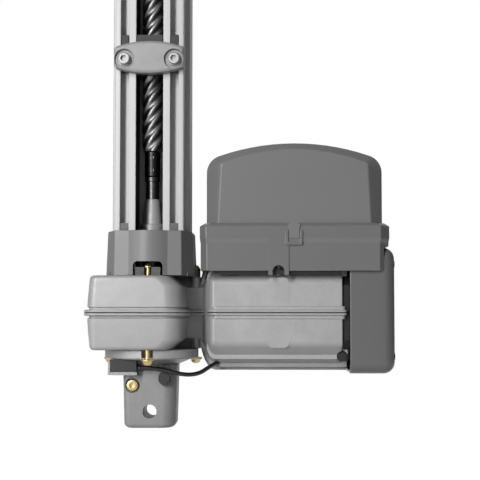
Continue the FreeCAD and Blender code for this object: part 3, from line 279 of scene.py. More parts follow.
class Paint:
    """A node material: colour with mottling, uneven roughness and a bump, from noise at real sizes."""

    def __init__(self, name, colour, roughness, metallic=0.0):
        self.material = bpy.data.materials.new(name + "_finish")
        self.material.use_nodes = True
        self.tree = self.material.node_tree
        self.shader = self.tree.nodes["Principled BSDF"]
        self.colour = colour
        self.shader.inputs["Base Color"].default_value = colour
        self.shader.inputs["Roughness"].default_value = roughness
        self.shader.inputs["Metallic"].default_value = metallic
        self.roughness = roughness
        self.coordinates = self.tree.nodes.new("ShaderNodeTexCoord").outputs["Object"]
        self.height = None

    def link(self, source, target):
        self.tree.links.new(source, target)

    def noise(self, size, stretch=(1, 1, 1), detail=3.0):
        """Noise whose grains are about size millimetres across, stretched along the axes."""
        mapping = self.tree.nodes.new("ShaderNodeMapping")
        scale = 1 / (size * mm)
        mapping.inputs["Scale"].default_value = [scale / s for s in stretch]
        self.link(self.coordinates, mapping.inputs["Vector"])
        texture = self.tree.nodes.new("ShaderNodeTexNoise")
        texture.inputs["Scale"].default_value = 1.0
        texture.inputs["Detail"].default_value = detail
        self.link(mapping.outputs["Vector"], texture.inputs["Vector"])
        return texture.outputs["Fac"]

    def ranged(self, source, low, high, start=0.3, end=0.7):
        node = self.tree.nodes.new("ShaderNodeMapRange")
        node.inputs["From Min"].default_value = start
        node.inputs["From Max"].default_value = end
        node.inputs["To Min"].default_value = low
        node.inputs["To Max"].default_value = high
        self.link(source, node.inputs["Value"])
        return node.outputs["Result"]

    def mottle(self, size, strength, stretch=(1, 1, 1), detail=4.0):
        """Lightens and darkens the colour in patches."""
        shade = self.ranged(self.noise(size, stretch, detail), 1 - strength, 1 + strength)
        self.shade(shade)
        return self

    def shade(self, factor):
        """Multiplies the colour by a factor."""
        node = self.tree.nodes.new("ShaderNodeMix")
        node.data_type = "RGBA"
        node.blend_type = "MULTIPLY"
        node.clamp_result = False
        node.inputs["Factor"].default_value = 1.0
        links = self.shader.inputs["Base Color"].links
        if links:
            self.link(links[0].from_socket, node.inputs["A"])
        else:
            node.inputs["A"].default_value = self.colour
        self.link(factor, node.inputs["B"])
        self.link(node.outputs["Result"], self.shader.inputs["Base Color"])

    def rough(self, size, spread, stretch=(1, 1, 1)):
        self.link(self.ranged(self.noise(size, stretch), self.roughness - spread, self.roughness + spread),
                  self.shader.inputs["Roughness"])
        return self

    def bump(self, size, depth, stretch=(1, 1, 1), detail=2.0):
        """Adds a bump of about depth millimetres from noise."""
        node = self.tree.nodes.new("ShaderNodeBump")
        node.inputs["Distance"].default_value = depth * mm
        node.inputs["Strength"].default_value = 1.0
        self.link(self.noise(size, stretch, detail), node.inputs["Height"])
        if self.height:
            self.link(self.height, node.inputs["Normal"])
        self.height = node.outputs["Normal"]
        self.link(self.height, self.shader.inputs["Normal"])
        return self


def cast_metal(name, value, roughness=0.45, metallic=0.15):
    paint = Paint(name, grey(value), roughness, metallic)
    return paint.mottle(14, 0.05).mottle(2.5, 0.03).rough(5, 0.08).bump(0.9, 0.02).bump(9, 0.05).material


def moulded(name, value, roughness=0.35):
    paint = Paint(name, grey(value), roughness)
    return paint.mottle(60, 0.012).rough(8, 0.015).bump(0.5, 0.003, detail=1.0).material


def turned(name, colour, roughness=0.3):
    paint = Paint(name, colour, roughness, 1.0)
    return paint.mottle(3, 0.06).rough(1.5, 0.08).bump(0.4, 0.006).material


def drawn(name, value, roughness=0.5):
    """Extruded metal, with fine lines along Z."""
    along = (1, 1, 300)
    paint = Paint(name, grey(value), roughness, 0.25)
    paint.mottle(1.2, 0.015, along).mottle(40, 0.02)
    return paint.rough(0.8, 0.05, along).bump(0.5, 0.002, along).material


rail_metal = drawn("rail_aluminium", 0.74)
clamp_metal = turned("clamp_steel", grey(0.35), 0.5)
end_metal = cast_metal("end_plate", 0.5)
foot_metal = turned("foot_steel", grey(0.34), 0.6)
zinc = turned("zinc_screws", grey(0.60), 0.48)
brassy = turned("yellow_zinc", tinted(0.74, 0.67, 0.49), 0.38)
socket_plastic = moulded("socket_plastic", 0.50, 0.42)
casting = cast_metal("cast_aluminium", 0.68)
knuckle_metal = cast_metal("cast_knuckle", 0.56, 0.5)
seal_rubber = moulded("seal_black", 0.06, 0.6)
cap_plastic = moulded("cap_plastic", 0.42, 0.34)
tray_plastic = moulded("tray_plastic", 0.47, 0.24)
dome_plastic = moulded("dome_plastic", 0.50, 0.24)
black_plastic = moulded("black_plastic", 0.10, 0.4)
bracket_metal = turned("bracket_zinc", grey(0.55), 0.4)
jacket = moulded("cable_jacket", 0.05, 0.4)
thread_metal = turned("thread_steel", grey(0.60), 0.45)
sleeve_metal = turned("coupling_black", grey(0.24), 0.4)
spindle_metal = turned("spindle_steel", grey(0.40), 0.35)
plate_metal = cast_metal("plate_zinc", 0.60, 0.5)
shoe_plastic = moulded("shoe_plastic", 0.12, 0.5)
board_green = Paint("board_green", tinted(0.16, 0.42, 0.25), 0.3).mottle(3, 0.15).material
wrap_yellow = Paint("transformer_wrap", tinted(0.72, 0.62, 0.35), 0.5).mottle(5, 0.08).material
can_white = Paint("capacitor_white", grey(0.85), 0.3).mottle(6, 0.03).material
block_blue = Paint("terminal_grey", tinted(0.50, 0.62, 0.66), 0.4).mottle(5, 0.04).material


# Rail

rail = Extent("rail")
rail_nose = 29.75
rail_step = rail.y1 - 36.0


def rail_piece():
    """The extrusion: a front slot over a channel, two T-grooves, and sides with a step."""
    front, back, wing = rail.y0, rail.y1, rail.x1
    half_slot, half_channel, wall = 11.6, 14.0, 2.2
    near, far, undercut = 17.7, 25.0, 2.05
    lip, floor, channel_floor = front + 2.0, front + 10.0, back - 3.0
    right = [
        (half_channel, channel_floor, 0.6), (half_channel, front + wall, 0.4),
        (half_slot, front + wall, 0.4), (half_slot, front, 0.5),
        (near, front, 0.4), (near, lip, 0.4), (near - undercut, lip, 0.4), (near - undercut, floor, 0.6),
        (far + undercut, floor, 0.6), (far + undercut, lip, 0.4), (far, lip, 0.4), (far, front, 0.4),
        (rail_nose, front, 1.2), (rail_nose, rail_step, 0.5), (wing, rail_step, 1.2), (wing, back, 1.2)]
    made = slab("rail_extrusion", rounded(mirrored(right), 3), level, rail.z0, rail.z1)
    dress(made, rail_metal, "frame", ["rail"], sharp=50)
    # Black sheets on the channel's side walls are painted shade: they make the inside of the channel look
    # dark.
    skin, overlap = 0.3, 0.01
    outer, inner = half_channel + overlap, half_channel - skin
    parts = []
    for u0, u1 in ((-outer, -inner), (inner, outer)):
        outline = rounded(rectangle(u0, u1, front + wall + 0.1, back - 1))
        parts.append(slab("shade_sheet", outline, level, rail.z0 + 1, rail.z1 - 1))
    dress(joined("channel_shade_sheet", parts), seal_rubber, "frame")


# Lead screw and drive line

def screw_piece():
    """Right-hand thread with several starts and rounded crests, and plain journals at both ends."""
    screw = Extent("lead_screw")
    bottom, top = Extent("coupling_sleeve").z1, screw.z1 - 14.0
    lead, starts, depth = 60.0, 5, 1.9
    steepness, crest_bias = 2.2, 0.1
    low_run_out, high_run_out, run_out_depth = 5.0, 3.0, 0.8
    count, row_height = 100, 1.25
    rows = int((top - bottom) / row_height)
    full = math.tanh(steepness * (1 + crest_bias))
    rings = []
    for row in range(rows + 1):
        z = bottom + (top - bottom) * row / rows
        fade = min(1.0, (z - bottom) / low_run_out, (top - z) / high_run_out)
        ring = []
        for i in range(count):
            angle = 2 * math.pi * i / count
            phase = math.cos(starts * (angle - 2 * math.pi * z / lead))
            groove = 0.5 - 0.5 * math.tanh(steepness * (phase + crest_bias)) / full
            radius = screw.x1 - depth * min(max(groove, 0), 1) - run_out_depth * (1 - fade) * (1 - groove)
            ring.append(Vector((radius * math.cos(angle), radius * math.sin(angle), z)))
        rings.append(ring)
    thread = loft("thread", rings)
    journal = lathe("journal", round_pin(5.0, top - 2, screw.z1))
    foot = lathe("foot", round_pin(4.5, screw.z0, bottom + 2))
    made = joined("lead_screw_thread", [thread, journal, foot])
    dress(made, thread_metal, "lead_screw", ["lead_screw"], sharp=60)


def drive_line_pieces():
    """Coupling sleeve, spindle with a collar under it, and tapered cast hub."""
    sleeve, shaft, hub = Extent("coupling_sleeve"), Extent("output_shaft"), Extent("shaft_hub")
    made = tube("coupling_sleeve_ring", sleeve.x1, 4.6, sleeve.z0, sleeve.z1, edge=0.8)
    dress(made, sleeve_metal, "lead_screw", ["coupling_sleeve"])
    shank, foot, tenon = 5.85, 8.5, 4.4
    collar = shank + 0.9
    foot_top, tenon_top = hub.z0 + 9.0, sleeve.z0 + 10.8
    profile = [(0, shaft.z0), (foot - 0.4, shaft.z0), (foot, shaft.z0 + 0.4), (foot, foot_top),
               (shank, foot_top), (shank, sleeve.z0 - 4.4), (collar, sleeve.z0 - 4.0),
               (collar, sleeve.z0 - 0.5), (shank + 0.4, sleeve.z0), (tenon, sleeve.z0), (tenon, tenon_top),
               (0, tenon_top)]
    dress(lathe("spindle", profile), spindle_metal, "lead_screw", ["output_shaft"])
    base, base_top = hub.x1, hub.z0 + 11.0
    taper_foot, taper_head = 9.0, 6.9
    profile = [(shank + 0.1, hub.z0), (base - 0.5, hub.z0), (base, hub.z0 + 0.6), (base, base_top - 0.6),
               (base - 0.5, base_top), (taper_foot, base_top + 0.4), (taper_head, hub.z1 - 0.8),
               (taper_head - 0.5, hub.z1), (shank, hub.z1)]
    dress(lathe("cast_hub", profile), casting, "lead_screw", ["shaft_hub"])


# Carriage

def plate_outline(half, end, slope, radius=3.2):
    """Corners of the carriage plate about its centre: short ends and crowned long edges."""
    rise, crown = shallow_arch(half, slope)[:2]
    return [(-half, -end, radius), (0, -end - rise, crown), (half, -end, radius),
            (half, end, radius), (0, end + rise, crown), (-half, end, radius)]


def carriage_pieces():
    """Crowned plate with two wells, spring washers and socket-head screws."""
    plate, washer, screw = Extent("carriage_plate"), Extent("plate_washers"), Extent("plate_screws")
    end, slope = 8.8, 17.3
    centre_z = screw.z + 1.7
    screw_x, screw_radius, head_radius, socket_radius = 21.35, 3.0, 4.98, 2.9
    places = [(-screw_x, 0, screw.z), (screw_x, 0, screw.z)]
    rings = []
    for inset, y in ((0, plate.y1), (0, plate.y0 + 2.2), (0.15, plate.y0 + 1.5), (0.6, plate.y0 + 0.8),
                     (1.6, plate.y0 + 0.25), (2.6, plate.y0)):
        outline = rounded(plate_outline(plate.x1 - inset, end - inset, slope), 10)
        rings.append([Vector((p.x, y, p.y + centre_z)) for p in outline])
    made = loft("carriage_face_plate", rings)
    well, well_floor = 8.0, plate.y0 + 3
    well_profile = [(0, plate.y0 - 1), (well + 1.3, plate.y0 - 1), (well + 0.2, plate.y0 + 0.8),
                    (well, well_floor), (0, well_floor)]
    hole = screw_radius + 0.2
    hole_profile = [(0, plate.y0), (hole, plate.y0), (hole, plate.y1 + 1), (0, plate.y1 + 1)]
    wells = [lathe("well", well_profile, "y", place) for place in places]
    holes = [lathe("hole", hole_profile, "y", place) for place in places]
    cut(made, wells + holes)
    dress(made, plate_metal, "carriage", ["carriage_plate"], sharp=32)
    rings = [tube("washer", 5.8, hole, washer.y0, washer.y1, "y", place, 0.25) for place in places]
    dress(joined("spring_washers", rings), zinc, "carriage", ["plate_washers"])
    seat = screw.y0 + 4.8
    head_profile = [(0, screw.y0), (head_radius - 0.58, screw.y0), (head_radius, screw.y0 + 0.7),
                    (head_radius, seat), (0, seat)]
    heads = []
    for place in places:
        head = lathe("head", head_profile, "y", place)
        hexagon = circle(place[0], place[2], socket_radius, 6)
        cut(head, [slab("socket", hexagon, across_y, screw.y0 - 1, screw.y0 + 3)])
        heads += [head, lathe("shank", round_pin(screw_radius, seat - 0.5, screw.y1), "y", place)]
    dress(joined("socket_head_screws", heads), zinc, "carriage", ["plate_screws"])


# Casting

casting_box = Extent("upper_housing")
split = Extent("housing_gasket").z
flange_reach = 2.5
case_left = casting_box.x0 + flange_reach
case_front = casting_box.y0 + flange_reach
case_right = 31.0
case_back = 62.0
case_draft = 2.4
half_height = 31.5
facet = 9.5
neck_front = 8.0
motor_start = 51.0
motor_end = Extent("end_seal").x0
motor_y = 38.0
motor_depth = 49.0
motor_height = 48.2
motor_front = motor_y - motor_depth
motor_back = motor_y + motor_depth
boss_x = 110.5
boss_radius = 9.3
fin_height = 2.8
fin_end = motor_end + 4.5
recess_z = split - 38.0
side_screw_x = 37.7
side_screw_y = 12.0

# Places along the barrel's shoulder, as (x, height missing, depth missing) against the full section
barrel_shoulder = [
    (42.3, -18.0, -22.0), (43.0, -15.0, -20.5), (44.0, -11.6, -18.8), (45.5, -8.0, -15.5),
    (47.5, -4.9, -11.0), (49.0, -3.2, -7.0), (50.5, -1.9, -3.6), (52.2, -0.9, -1.5), (55.0, 0.0, 0.0)]


def case_ring(height, inset, right_inset):
    """Gear case outline, used for both halves of the joint; the height is not used."""
    left, right = case_left + inset, case_right - right_inset
    front, back = case_front + inset, case_back - inset
    corners = [(left, front, 7.5 - inset / 2), (right, front, 16.0), (right, back, 6), (left, back, 12)]
    return rounded(corners, 10)


def case_half(sign):
    """Drafted wall with a line cut in beside the flange, a rounded top edge and a facet on the right."""
    edge, turns = 3.6, 6
    rows = [(0, 1.6), (4.2, 1.6), (4.9, 0.3)]
    for height in (12, 22, half_height - edge):
        rows.append((height, case_draft * (height / half_height) ** 1.3))
    drafted = rows[-1][1]
    for i in range(1, turns + 1):
        turn = math.pi / 2 * i / turns
        rows.append((half_height - edge + edge * math.sin(turn), drafted + edge * (1 - math.cos(turn))))
    rings = []
    for height, inset in rows:
        cut_in = max(0.0, height - (half_height - facet))
        right_inset = max(inset, cut_in + case_draft * height / half_height)
        rings.append(level(case_ring(height, inset, right_inset), split + sign * height))
    return loft("case", rings)


def neck_half(sign):
    """Solid neck between the gear case and the motor, with chamfered edges and the upright screw posts."""
    outline = [(neck_front, 0, 0), (case_back, 0, 0), (case_back, half_height - facet, 1),
               (case_back - facet, half_height, 1), (neck_front + facet, half_height, 1.2),
               (neck_front, half_height - facet, 1.2)]
    points = [Vector((p.x, split + sign * p.y)) for p in rounded(outline, 3)]
    neck = slab("neck", points, across_x, 12.0, 58.0)
    posts = []
    for x in (side_screw_x, -side_screw_x):
        profile = [(radius, split + sign * along) for radius, along in round_pin(3.9, 11, half_height, 0.6)]
        posts.append(lathe("post", profile, "z", (x, side_screw_y, 0), 32))
    return [neck] + posts


def motor_outline(rise, reach, sign=1):
    """Half section of the barrel above the joint, as (y, height) corners."""
    deep, high = motor_depth + reach, motor_height + rise
    quarter = [(1.0, 0.0, 0), (1.0, 0.58, 8), (0.78, 0.775, 3), (0.53, 0.925, 6), (0.25, 1.0, 9)]
    corners = [(-u, v, radius) for u, v, radius in quarter] + quarter[::-1]
    return [(motor_y + deep * u, split + sign * high * v, radius) for u, v, radius in corners]


def barrel_half(sign):
    """Half of the motor's barrel, with a rounded shoulder at the neck and a broken edge at the cap."""
    ends = [(motor_end - 1.2, 0.0, 0.0), (motor_end - 0.4, -0.4, -0.4), (motor_end, -1.4, -1.4)]
    rings = []
    for x, rise, reach in barrel_shoulder + ends:
        rings.append(across_x(rounded(motor_outline(rise, reach, sign), 6), x))
    return loft("barrel", rings)


def barrel_height(y, rise, reach):
    """Half height of the barrel's section at y."""
    points = rounded(motor_outline(rise, reach), 6)
    for before, after in zip(points, points[1:]):
        if before.x < y <= after.x:
            return before.y + (after.y - before.y) * (y - before.x) / (after.x - before.x) - split
    return 0.0


def fin_plates(sign):
    """Upright cooling plates that follow the barrel and its shoulder."""
    count, pitch, half_thickness = 7, 12.7, 1.1
    root_near, root_far, set_back = 15.0, 32.0, 0.6
    plates = []
    for i in range(count):
        y = motor_y + (i - count // 2) * pitch
        crest = []
        for x, rise, reach in barrel_shoulder:
            height = barrel_height(y, rise, reach)
            if height > 0:
                crest.append((x - set_back, height + fin_height))
        crest.append((fin_end, barrel_height(y, 0, 0) + fin_height))
        outline = [(fin_end, root_far), (crest[0][0], root_near)] + crest
        points = [Vector((x, split + sign * height)) for x, height in outline]
        plates.append(slab("fin", points, across_y, y - half_thickness, y + half_thickness))
    return plates


def bosses(sign):
    """Flat-faced bosses for the motor's bolts, at the front and the back."""
    low, high, corner = 2.0, 30.3, 4.5
    stand_out, length = 0.15, 19
    left, right = boss_x - boss_radius, boss_x + boss_radius
    outline = rounded([(left, low, 0), (right, low, 0), (right, high, corner), (left, high, corner)], 6)
    points = [Vector((p.x, split + sign * p.y)) for p in outline]
    return [slab("boss", points, across_y, motor_front - stand_out, motor_front + length),
            slab("boss", points, across_y, motor_back - length, motor_back + stand_out)]


def flange_corners(grow):
    """The joint flange round the gear case, the neck and the motor."""
    near, far = motor_start - grow, motor_end + 3.5 + grow / 5
    inner = 7.0 - grow
    left, right = case_left - grow, case_right + grow
    front, back = case_front - grow, case_back + grow
    motor_near, motor_far = motor_front - grow, motor_back + grow
    return [(left, front, 8 + grow), (right, front, 17 + grow), (right, neck_front - grow, inner),
            (near, neck_front - grow, inner), (near, motor_near, 6 + grow), (far, motor_near, 3.5),
            (far, motor_far, 3.5), (near, motor_far, 6 + grow), (near, back, inner),
            (left, back, 12 + grow)]


def band_corners(grow):
    """The wider band behind the flange, round the motor only."""
    near, far = motor_start + 1 - grow, motor_end + 2.5
    front, back = motor_front - grow, motor_back + grow
    return [(near, front, 6), (far, front, 3), (far, back, 3), (near, back, 6)]


def flange_half(sign):
    """Two rolled edges: a lip at the joint, and on the motor a wider band behind it."""
    lip = [(0.25, -2.0), (0.25, 1.6), (0.45, 2.2), (0.9, 2.5), (1.7, 2.5), (2.2, 2.2), (2.5, 1.6),
           (2.6, 0.6), (2.6, -2.5)]
    band = [(0.3, -2.0), (0.3, 0.6), (4.6, 0.8), (5.2, 0.6), (5.6, 0.1), (5.7, -2.0)]
    made = []
    for name, rows, corners, steps in (("rim", lip, flange_corners, 8), ("band", band, band_corners, 6)):
        rings = [level(rounded(corners(grow), steps), split + sign * height) for height, grow in rows]
        made.append(loft(name, rings))
    return made


def recess_rod(name, radius, start, end, count):
    """A rod across the motor's right end, in line with the round recess under it."""
    return lathe(name, round_pin(radius, start, end), "y", (motor_end, 0, recess_z), count)


def housing_piece(name, sign):
    """One half of the casting. The lower half has a round recess under the motor's right end."""
    ended = [barrel_half(sign)] + fin_plates(sign)
    if sign < 0:
        for part in ended:
            cut(part, [recess_rod("recess", 4.8, motor_front - 6, motor_back + 6, 40)])
    parts = [case_half(sign)] + ended + neck_half(sign) + bosses(sign) + flange_half(sign)
    made = joined(name + "_casting", parts)
    softened(made, 0.5, 2, 40)
    dress(made, casting, "frame", [name], sharp=36)
    if sign < 0:
        # A black rod inside the round recess is painted shade: it makes the recess look dark and deep.
        shade_rod = recess_rod("recess_shade_rod", 4.3, motor_front + 9, motor_back - 9, 32)
        dress(shade_rod, seal_rubber, "frame")


# End cap, tray and dome

cap = Extent("end_cap")
tray = Extent("cover_tray")
dome = Extent("dome_cover")
tray_front = -21.0
tray_back = 97.0
tray_bottom = 120.3
tray_floor = 143.0
tray_shoulder = 159.4
dome_front = -10.5
snap_x = 124.0


def cap_ring(inset, x):
    outline = rectangle(cap.y0 + inset, cap.y1 - inset, cap.z0 + inset, cap.z1 - inset, max(11 - inset, 4))
    return across_x(rounded(outline, 8), x)


def cap_piece():
    """Open shell with a thin lip at the motor and a rounded, slightly crowned end."""
    wall, bend, bend_start, turns = 2.6, 10, cap.x1 - 11, 8
    rows = [(wall, cap.x0 + 20), (wall, cap.x0), (0.9, cap.x0), (0.3, cap.x0 + 0.3), (0.0, cap.x0 + 1.0),
            (0.0, bend_start)]
    for i in range(1, turns + 1):
        turn = math.pi / 2 * i / turns
        rows.append((bend * (1 - math.cos(turn)), bend_start + bend * math.sin(turn)))
    rows += [(24, cap.x1 - 0.3), (38, cap.x1)]
    made = loft("motor_end_cap", [cap_ring(inset, x) for inset, x in rows])
    box = Extent("end_cap_screws")
    reach = 4.0
    places = [(y, z) for y in (box.y0 + reach, box.y1 - reach) for z in (box.z0 + reach, box.z1 - reach)]
    well = [(0, cap.x1 - 4), (4.4, cap.x1 - 4), (4.6, cap.x1 + 2), (0, cap.x1 + 2)]
    cut(made, [lathe("well", well, "x", (0, y, z), 40) for y, z in places])
    dress(made, cap_plastic, "frame", ["end_cap"])
    head_profile = [(0, cap.x1 - 5), (3.9, cap.x1 - 5), (3.9, cap.x1 - 1.6), (3.2, cap.x1 - 0.9),
                    (0, cap.x1 - 0.7)]
    arm, half_slit = 2.2, 0.45
    heads = []
    for y, z in places:
        head = lathe("head", head_profile, "x", (0, y, z), 32)
        cross = [slab("cross", rectangle_points(y - u, y + u, z - v, z + v), across_x, cap.x1 - 2.4, cap.x1)
                 for u, v in ((arm, half_slit), (half_slit, arm))]
        heads.append(cut(head, cross))
    dress(joined("cap_screw_heads", heads), sleeve_metal, "frame", ["end_cap_screws"])


def tray_ring(inset):
    """Tray seen from above, with flat bevels at its two front corners."""
    left, right = tray.x0 + inset, tray.x1 - inset
    front, back = tray_front + inset, tray_back - inset
    return rounded([(left, front + 6.2, 1), (left + 5.2, front + 0.27, 0.1), (left + 6.2, front, 0.1),
                    (right - 8, front, 1), (right, front + 8, 1), (right, back, 6), (left, back, 6)], 6)


def snap_frame():
    """Raised frame on the tray's front, open at the top for the dome's tongue."""
    outer = rounded(rectangle(snap_x - 7.9, snap_x + 7.3, tray_shoulder - 16.8, tray_shoulder - 4, 1.2), 4)
    inner = rounded(rectangle(snap_x - 4.8, snap_x + 4.8, tray_shoulder - 14.2, tray_shoulder + 2, 0.6), 4)
    bezel = slab("bezel", outer, across_y, tray_front - 1.4, tray_front + 0.4)
    cut(bezel, [slab("hollow", inner, across_y, tray_front - 5, tray_front - 0.2)])
    return softened(bezel, 0.5, 3)


def tray_pieces():
    """Shallow tray with a stepped wall, a pad arched over the stud, and painted shade under its front edge.
    """
    floor, shoulder, top, bottom = tray_floor, tray_shoulder, tray.z1, tray_bottom
    rows = [(2.5, floor), (2.5, bottom), (1.6, bottom), (1.0, bottom + 0.4), (0.8, bottom + 1.2),
            (0.7, shoulder - 16.0), (0.6, shoulder - 14.5), (0.2, shoulder - 12.0), (0.0, shoulder - 10.5),
            (0.0, shoulder - 1.0), (0.5, shoulder - 0.1), (1.2, shoulder + 0.4), (3.6, top - 0.5),
            (4.2, top - 0.05), (4.8, top), (5.6, top - 0.3), (5.6, floor + 2.5)]
    made = loft("tray_shell", [level(tray_ring(inset), z) for inset, z in rows])
    half_pad, pad_low, pad_high = 8.9, bottom - 3.6, shoulder - 10
    half_arch, arch_spring = 5.1, bottom + 4.9
    pad = slab("pad", rounded([(boss_x - half_pad, pad_low, 0.8), (boss_x + half_pad, pad_low, 0.8),
                               (boss_x + half_pad, pad_high, 0.5), (boss_x - half_pad, pad_high, 0.5)], 3),
               across_y, tray_front - 0.25, tray_front + 2.4)
    arch = slab("arch", rounded([(boss_x - half_arch, bottom - 8, 0), (boss_x + half_arch, bottom - 8, 0),
                                 (boss_x + half_arch, arch_spring, half_arch - 0.05),
                                 (boss_x - half_arch, arch_spring, half_arch - 0.05)], 10),
                across_y, tray_front - 9, tray_front + 4)
    gap = 0.6
    outline = rectangle_points(cap.x0 - 2, cap.x1 + 18, cap.y0 - gap, cap.y1 + gap)
    cap_room = slab("cap_room", outline, level, 100, cap.z1 + gap)
    fused(made, [pad])
    cut(made, [arch, cap_room])
    softened(made, 0.35, 2, 40)
    made = joined("tray_with_snap_frame", [made, snap_frame()])
    dress(made, tray_plastic, "frame", ["cover_tray"], sharp=34)
    # Two black pieces under the tray's front edge are painted shade: they darken the gap over the motor,
    # which is only in shadow.
    shade_strip_start, shade_strip_end = 58.0, motor_end - 1
    strip = slab("shade_strip", rectangle_points(shade_strip_start, shade_strip_end, -5.0, 0.0), level, 110.0, 120.0)
    shade_screen = slab("shade_screen", rectangle_points(shade_strip_start, shade_strip_end, -15.0, -12.5), level, 117.4, 121.0)
    dress(joined("tray_shade_strips", [strip, shade_screen]), seal_rubber, "frame")


def dome_ring(share, y):
    """Arched outline of the dome at depth y. The front face is drawn in by the full share."""
    foot, eaves_inset, crown_inset = 9.6 * share, 13.0 * share, 6.6 * share
    left, right = dome.x0 + eaves_inset, dome.x1 - eaves_inset
    rise, crown, height = shallow_arch((right - left) / 2, 19.0)
    eaves = dome.z1 - crown_inset - height
    turn = 16.0 - 13.0 * share
    corners = [(dome.x0 + foot, dome.z0, 0), (dome.x1 - foot, dome.z0, 0), (right, eaves, turn),
               ((left + right) / 2, eaves + rise, crown), (left, eaves, turn)]
    return across_y(rounded(corners, 14), y)


def dome_piece():
    """Shell whose front and back faces meet flat bevels at narrow rounded creases, with a snap tongue."""
    bevel_depth = 11.0
    rows = [(1.08, 0.0), (1.0, 0.025), (0.93, 0.075), (0.13, 0.85), (0.08, 0.91), (0.035, 0.98),
            (0.01, 1.06), (0.0, 1.16)]
    rings = [(share, dome_front + deep * bevel_depth) for share, deep in rows]
    rings += [(share, dome_front + dome.y1 - y) for share, y in reversed(rings)]
    made = loft("dome_shell", [dome_ring(share, y) for share, y in rings])
    half = 4.4
    half_head = half + 1.2
    tip, neck, head = tray_shoulder - 11.2, tray_shoulder - 3.4, tray_shoulder + 1.2
    outline = [(snap_x - half, tip, 0.6), (snap_x + half, tip, 0.6), (snap_x + half, neck, 1.5),
               (snap_x + half_head, head, 0.4), (snap_x - half_head, head, 0.4), (snap_x - half, neck, 1.5)]
    tongue = slab("tongue", rounded(outline, 3), across_y, tray_front - 1, tray_front - 0.15)
    outline = rounded(rectangle(snap_x - half, snap_x + half, head - 2, head + 1, 0.3), 3)
    bridge = slab("bridge", outline, across_y, tray_front - 0.6, dome_front + 2.5)
    softened(tongue, 0.3)
    softened(bridge, 0.4)
    made = joined("dome_with_tongue", [made, tongue, bridge])
    dress(made, dome_plastic, "cover", ["dome_cover"], sharp=9)


# Rail socket and screws

socket = Extent("rail_socket")
socket_front = -38.6
foot_screw_y = 35.6
cover_screw_y = 38.5
cover_face = 45.0


def socket_ring(z, share):
    """Outline of the rail socket at a height, with a crowned middle, flats and slanting cheeks."""
    half = socket.x1 - 1.5 * share
    corner = 29.0 - 0.4 * share
    front = socket_front + 0.8 * share
    half_crown, crown, flat = 16.5, front - 9.5, front + 1.2
    cheek, back = -20.0, socket.y1
    corners = [(-half, cheek, 3), (-corner, flat, 1.2), (-half_crown, front, 0.8), (0, crown, 26),
               (half_crown, front, 0.8), (corner - 0.6, flat, 1.2), (half, cheek, 3), (half, back, 4),
               (-half, back, 4)]
    return level(rounded(corners, 8), z)


def socket_pieces():
    """Moulded socket round the rail's foot, with a window over the front screw."""
    bottom, top = socket.z0, socket.z1
    rows = [(bottom, 0.0), (bottom + 12, 0.3), (top - 1.0, 0.98), (top - 0.3, 1.2), (top, 1.8)]
    made = loft("socket", [socket_ring(z, share) for z, share in rows])
    half_nose, half_wing = rail_nose + 0.35, rail.x1 + 0.4
    nose_room = rounded(rectangle(-half_nose, half_nose, rail.y0 - 0.3, 20, 1), 2)
    wing_room = rounded(rectangle(-half_wing, half_wing, rail_step - 0.4, rail.y1 + 0.3, 1), 2)
    rooms = [slab("room", outline, level, bottom - 1, top + 1) for outline in (nose_room, wing_room)]
    half_window, window_top = 12.6, bottom + 11.6
    window = slab("window", rounded([(-half_window, bottom - 4, 0), (half_window, bottom - 4, 0),
                                     (half_window, window_top, 4), (-half_window, window_top, 4)], 6),
                  across_y, -60, -28)
    ears = [lathe("ear", round_pin(4.5, bottom - 1, bottom + 12), "z", (x, side_screw_y, 0))
            for x in (-side_screw_x, side_screw_x)]
    cut(made, rooms + [window] + ears)
    softened(made, 0.6, 3, 40)
    dress(made, socket_plastic, "frame", ["rail_socket"], sharp=36)


def screw_places(front):
    """One screw at the front, one at the back and one at each side."""
    return [(0, -front), (0, front), (side_screw_x, side_screw_y), (-side_screw_x, side_screw_y)]


def screw_head_profile(radius, height, seat, sign):
    """Domed head with a flange, standing on its seat towards sign."""
    return [(0, seat - sign * 1), (radius, seat - sign * 0.2), (radius, seat + sign * 0.9),
            (radius * 0.80, seat + sign * 1.6), (radius * 0.66, seat + sign * height * 0.72),
            (radius * 0.40, seat + sign * height * 0.95), (0, seat + sign * height)]


def screw_set(name, node, front, head, shank, count):
    """Four brass-coloured screws with the same head and shank profiles."""
    parts = []
    for x, y in screw_places(front):
        parts.append(lathe("head", head, "z", (x, y, 0), count))
        parts.append(lathe("shank", shank, "z", (x, y, 0), 24))
    dress(joined(name, parts), brassy, "frame", [node])


def brass_screws():
    """The socket's screws from above and the lower cover's screws from below."""
    shank_radius = 2.3
    box = Extent("socket_screws")
    radius, height = 3.7, 3.4
    seat = box.z1 - height
    screw_set("socket_screw_set", "socket_screws", foot_screw_y,
              screw_head_profile(radius, height, seat, 1),
              round_pin(shank_radius, box.z0, seat), 32)
    box = Extent("lower_cover_screws")
    radius, height = 5.6, 5.0
    screw_set("cover_screw_set", "lower_cover_screws", cover_screw_y,
              screw_head_profile(radius, height, cover_face, -1),
              round_pin(shank_radius, cover_face - 1, box.z1), 40)


# Lower cover, knuckle and sensor

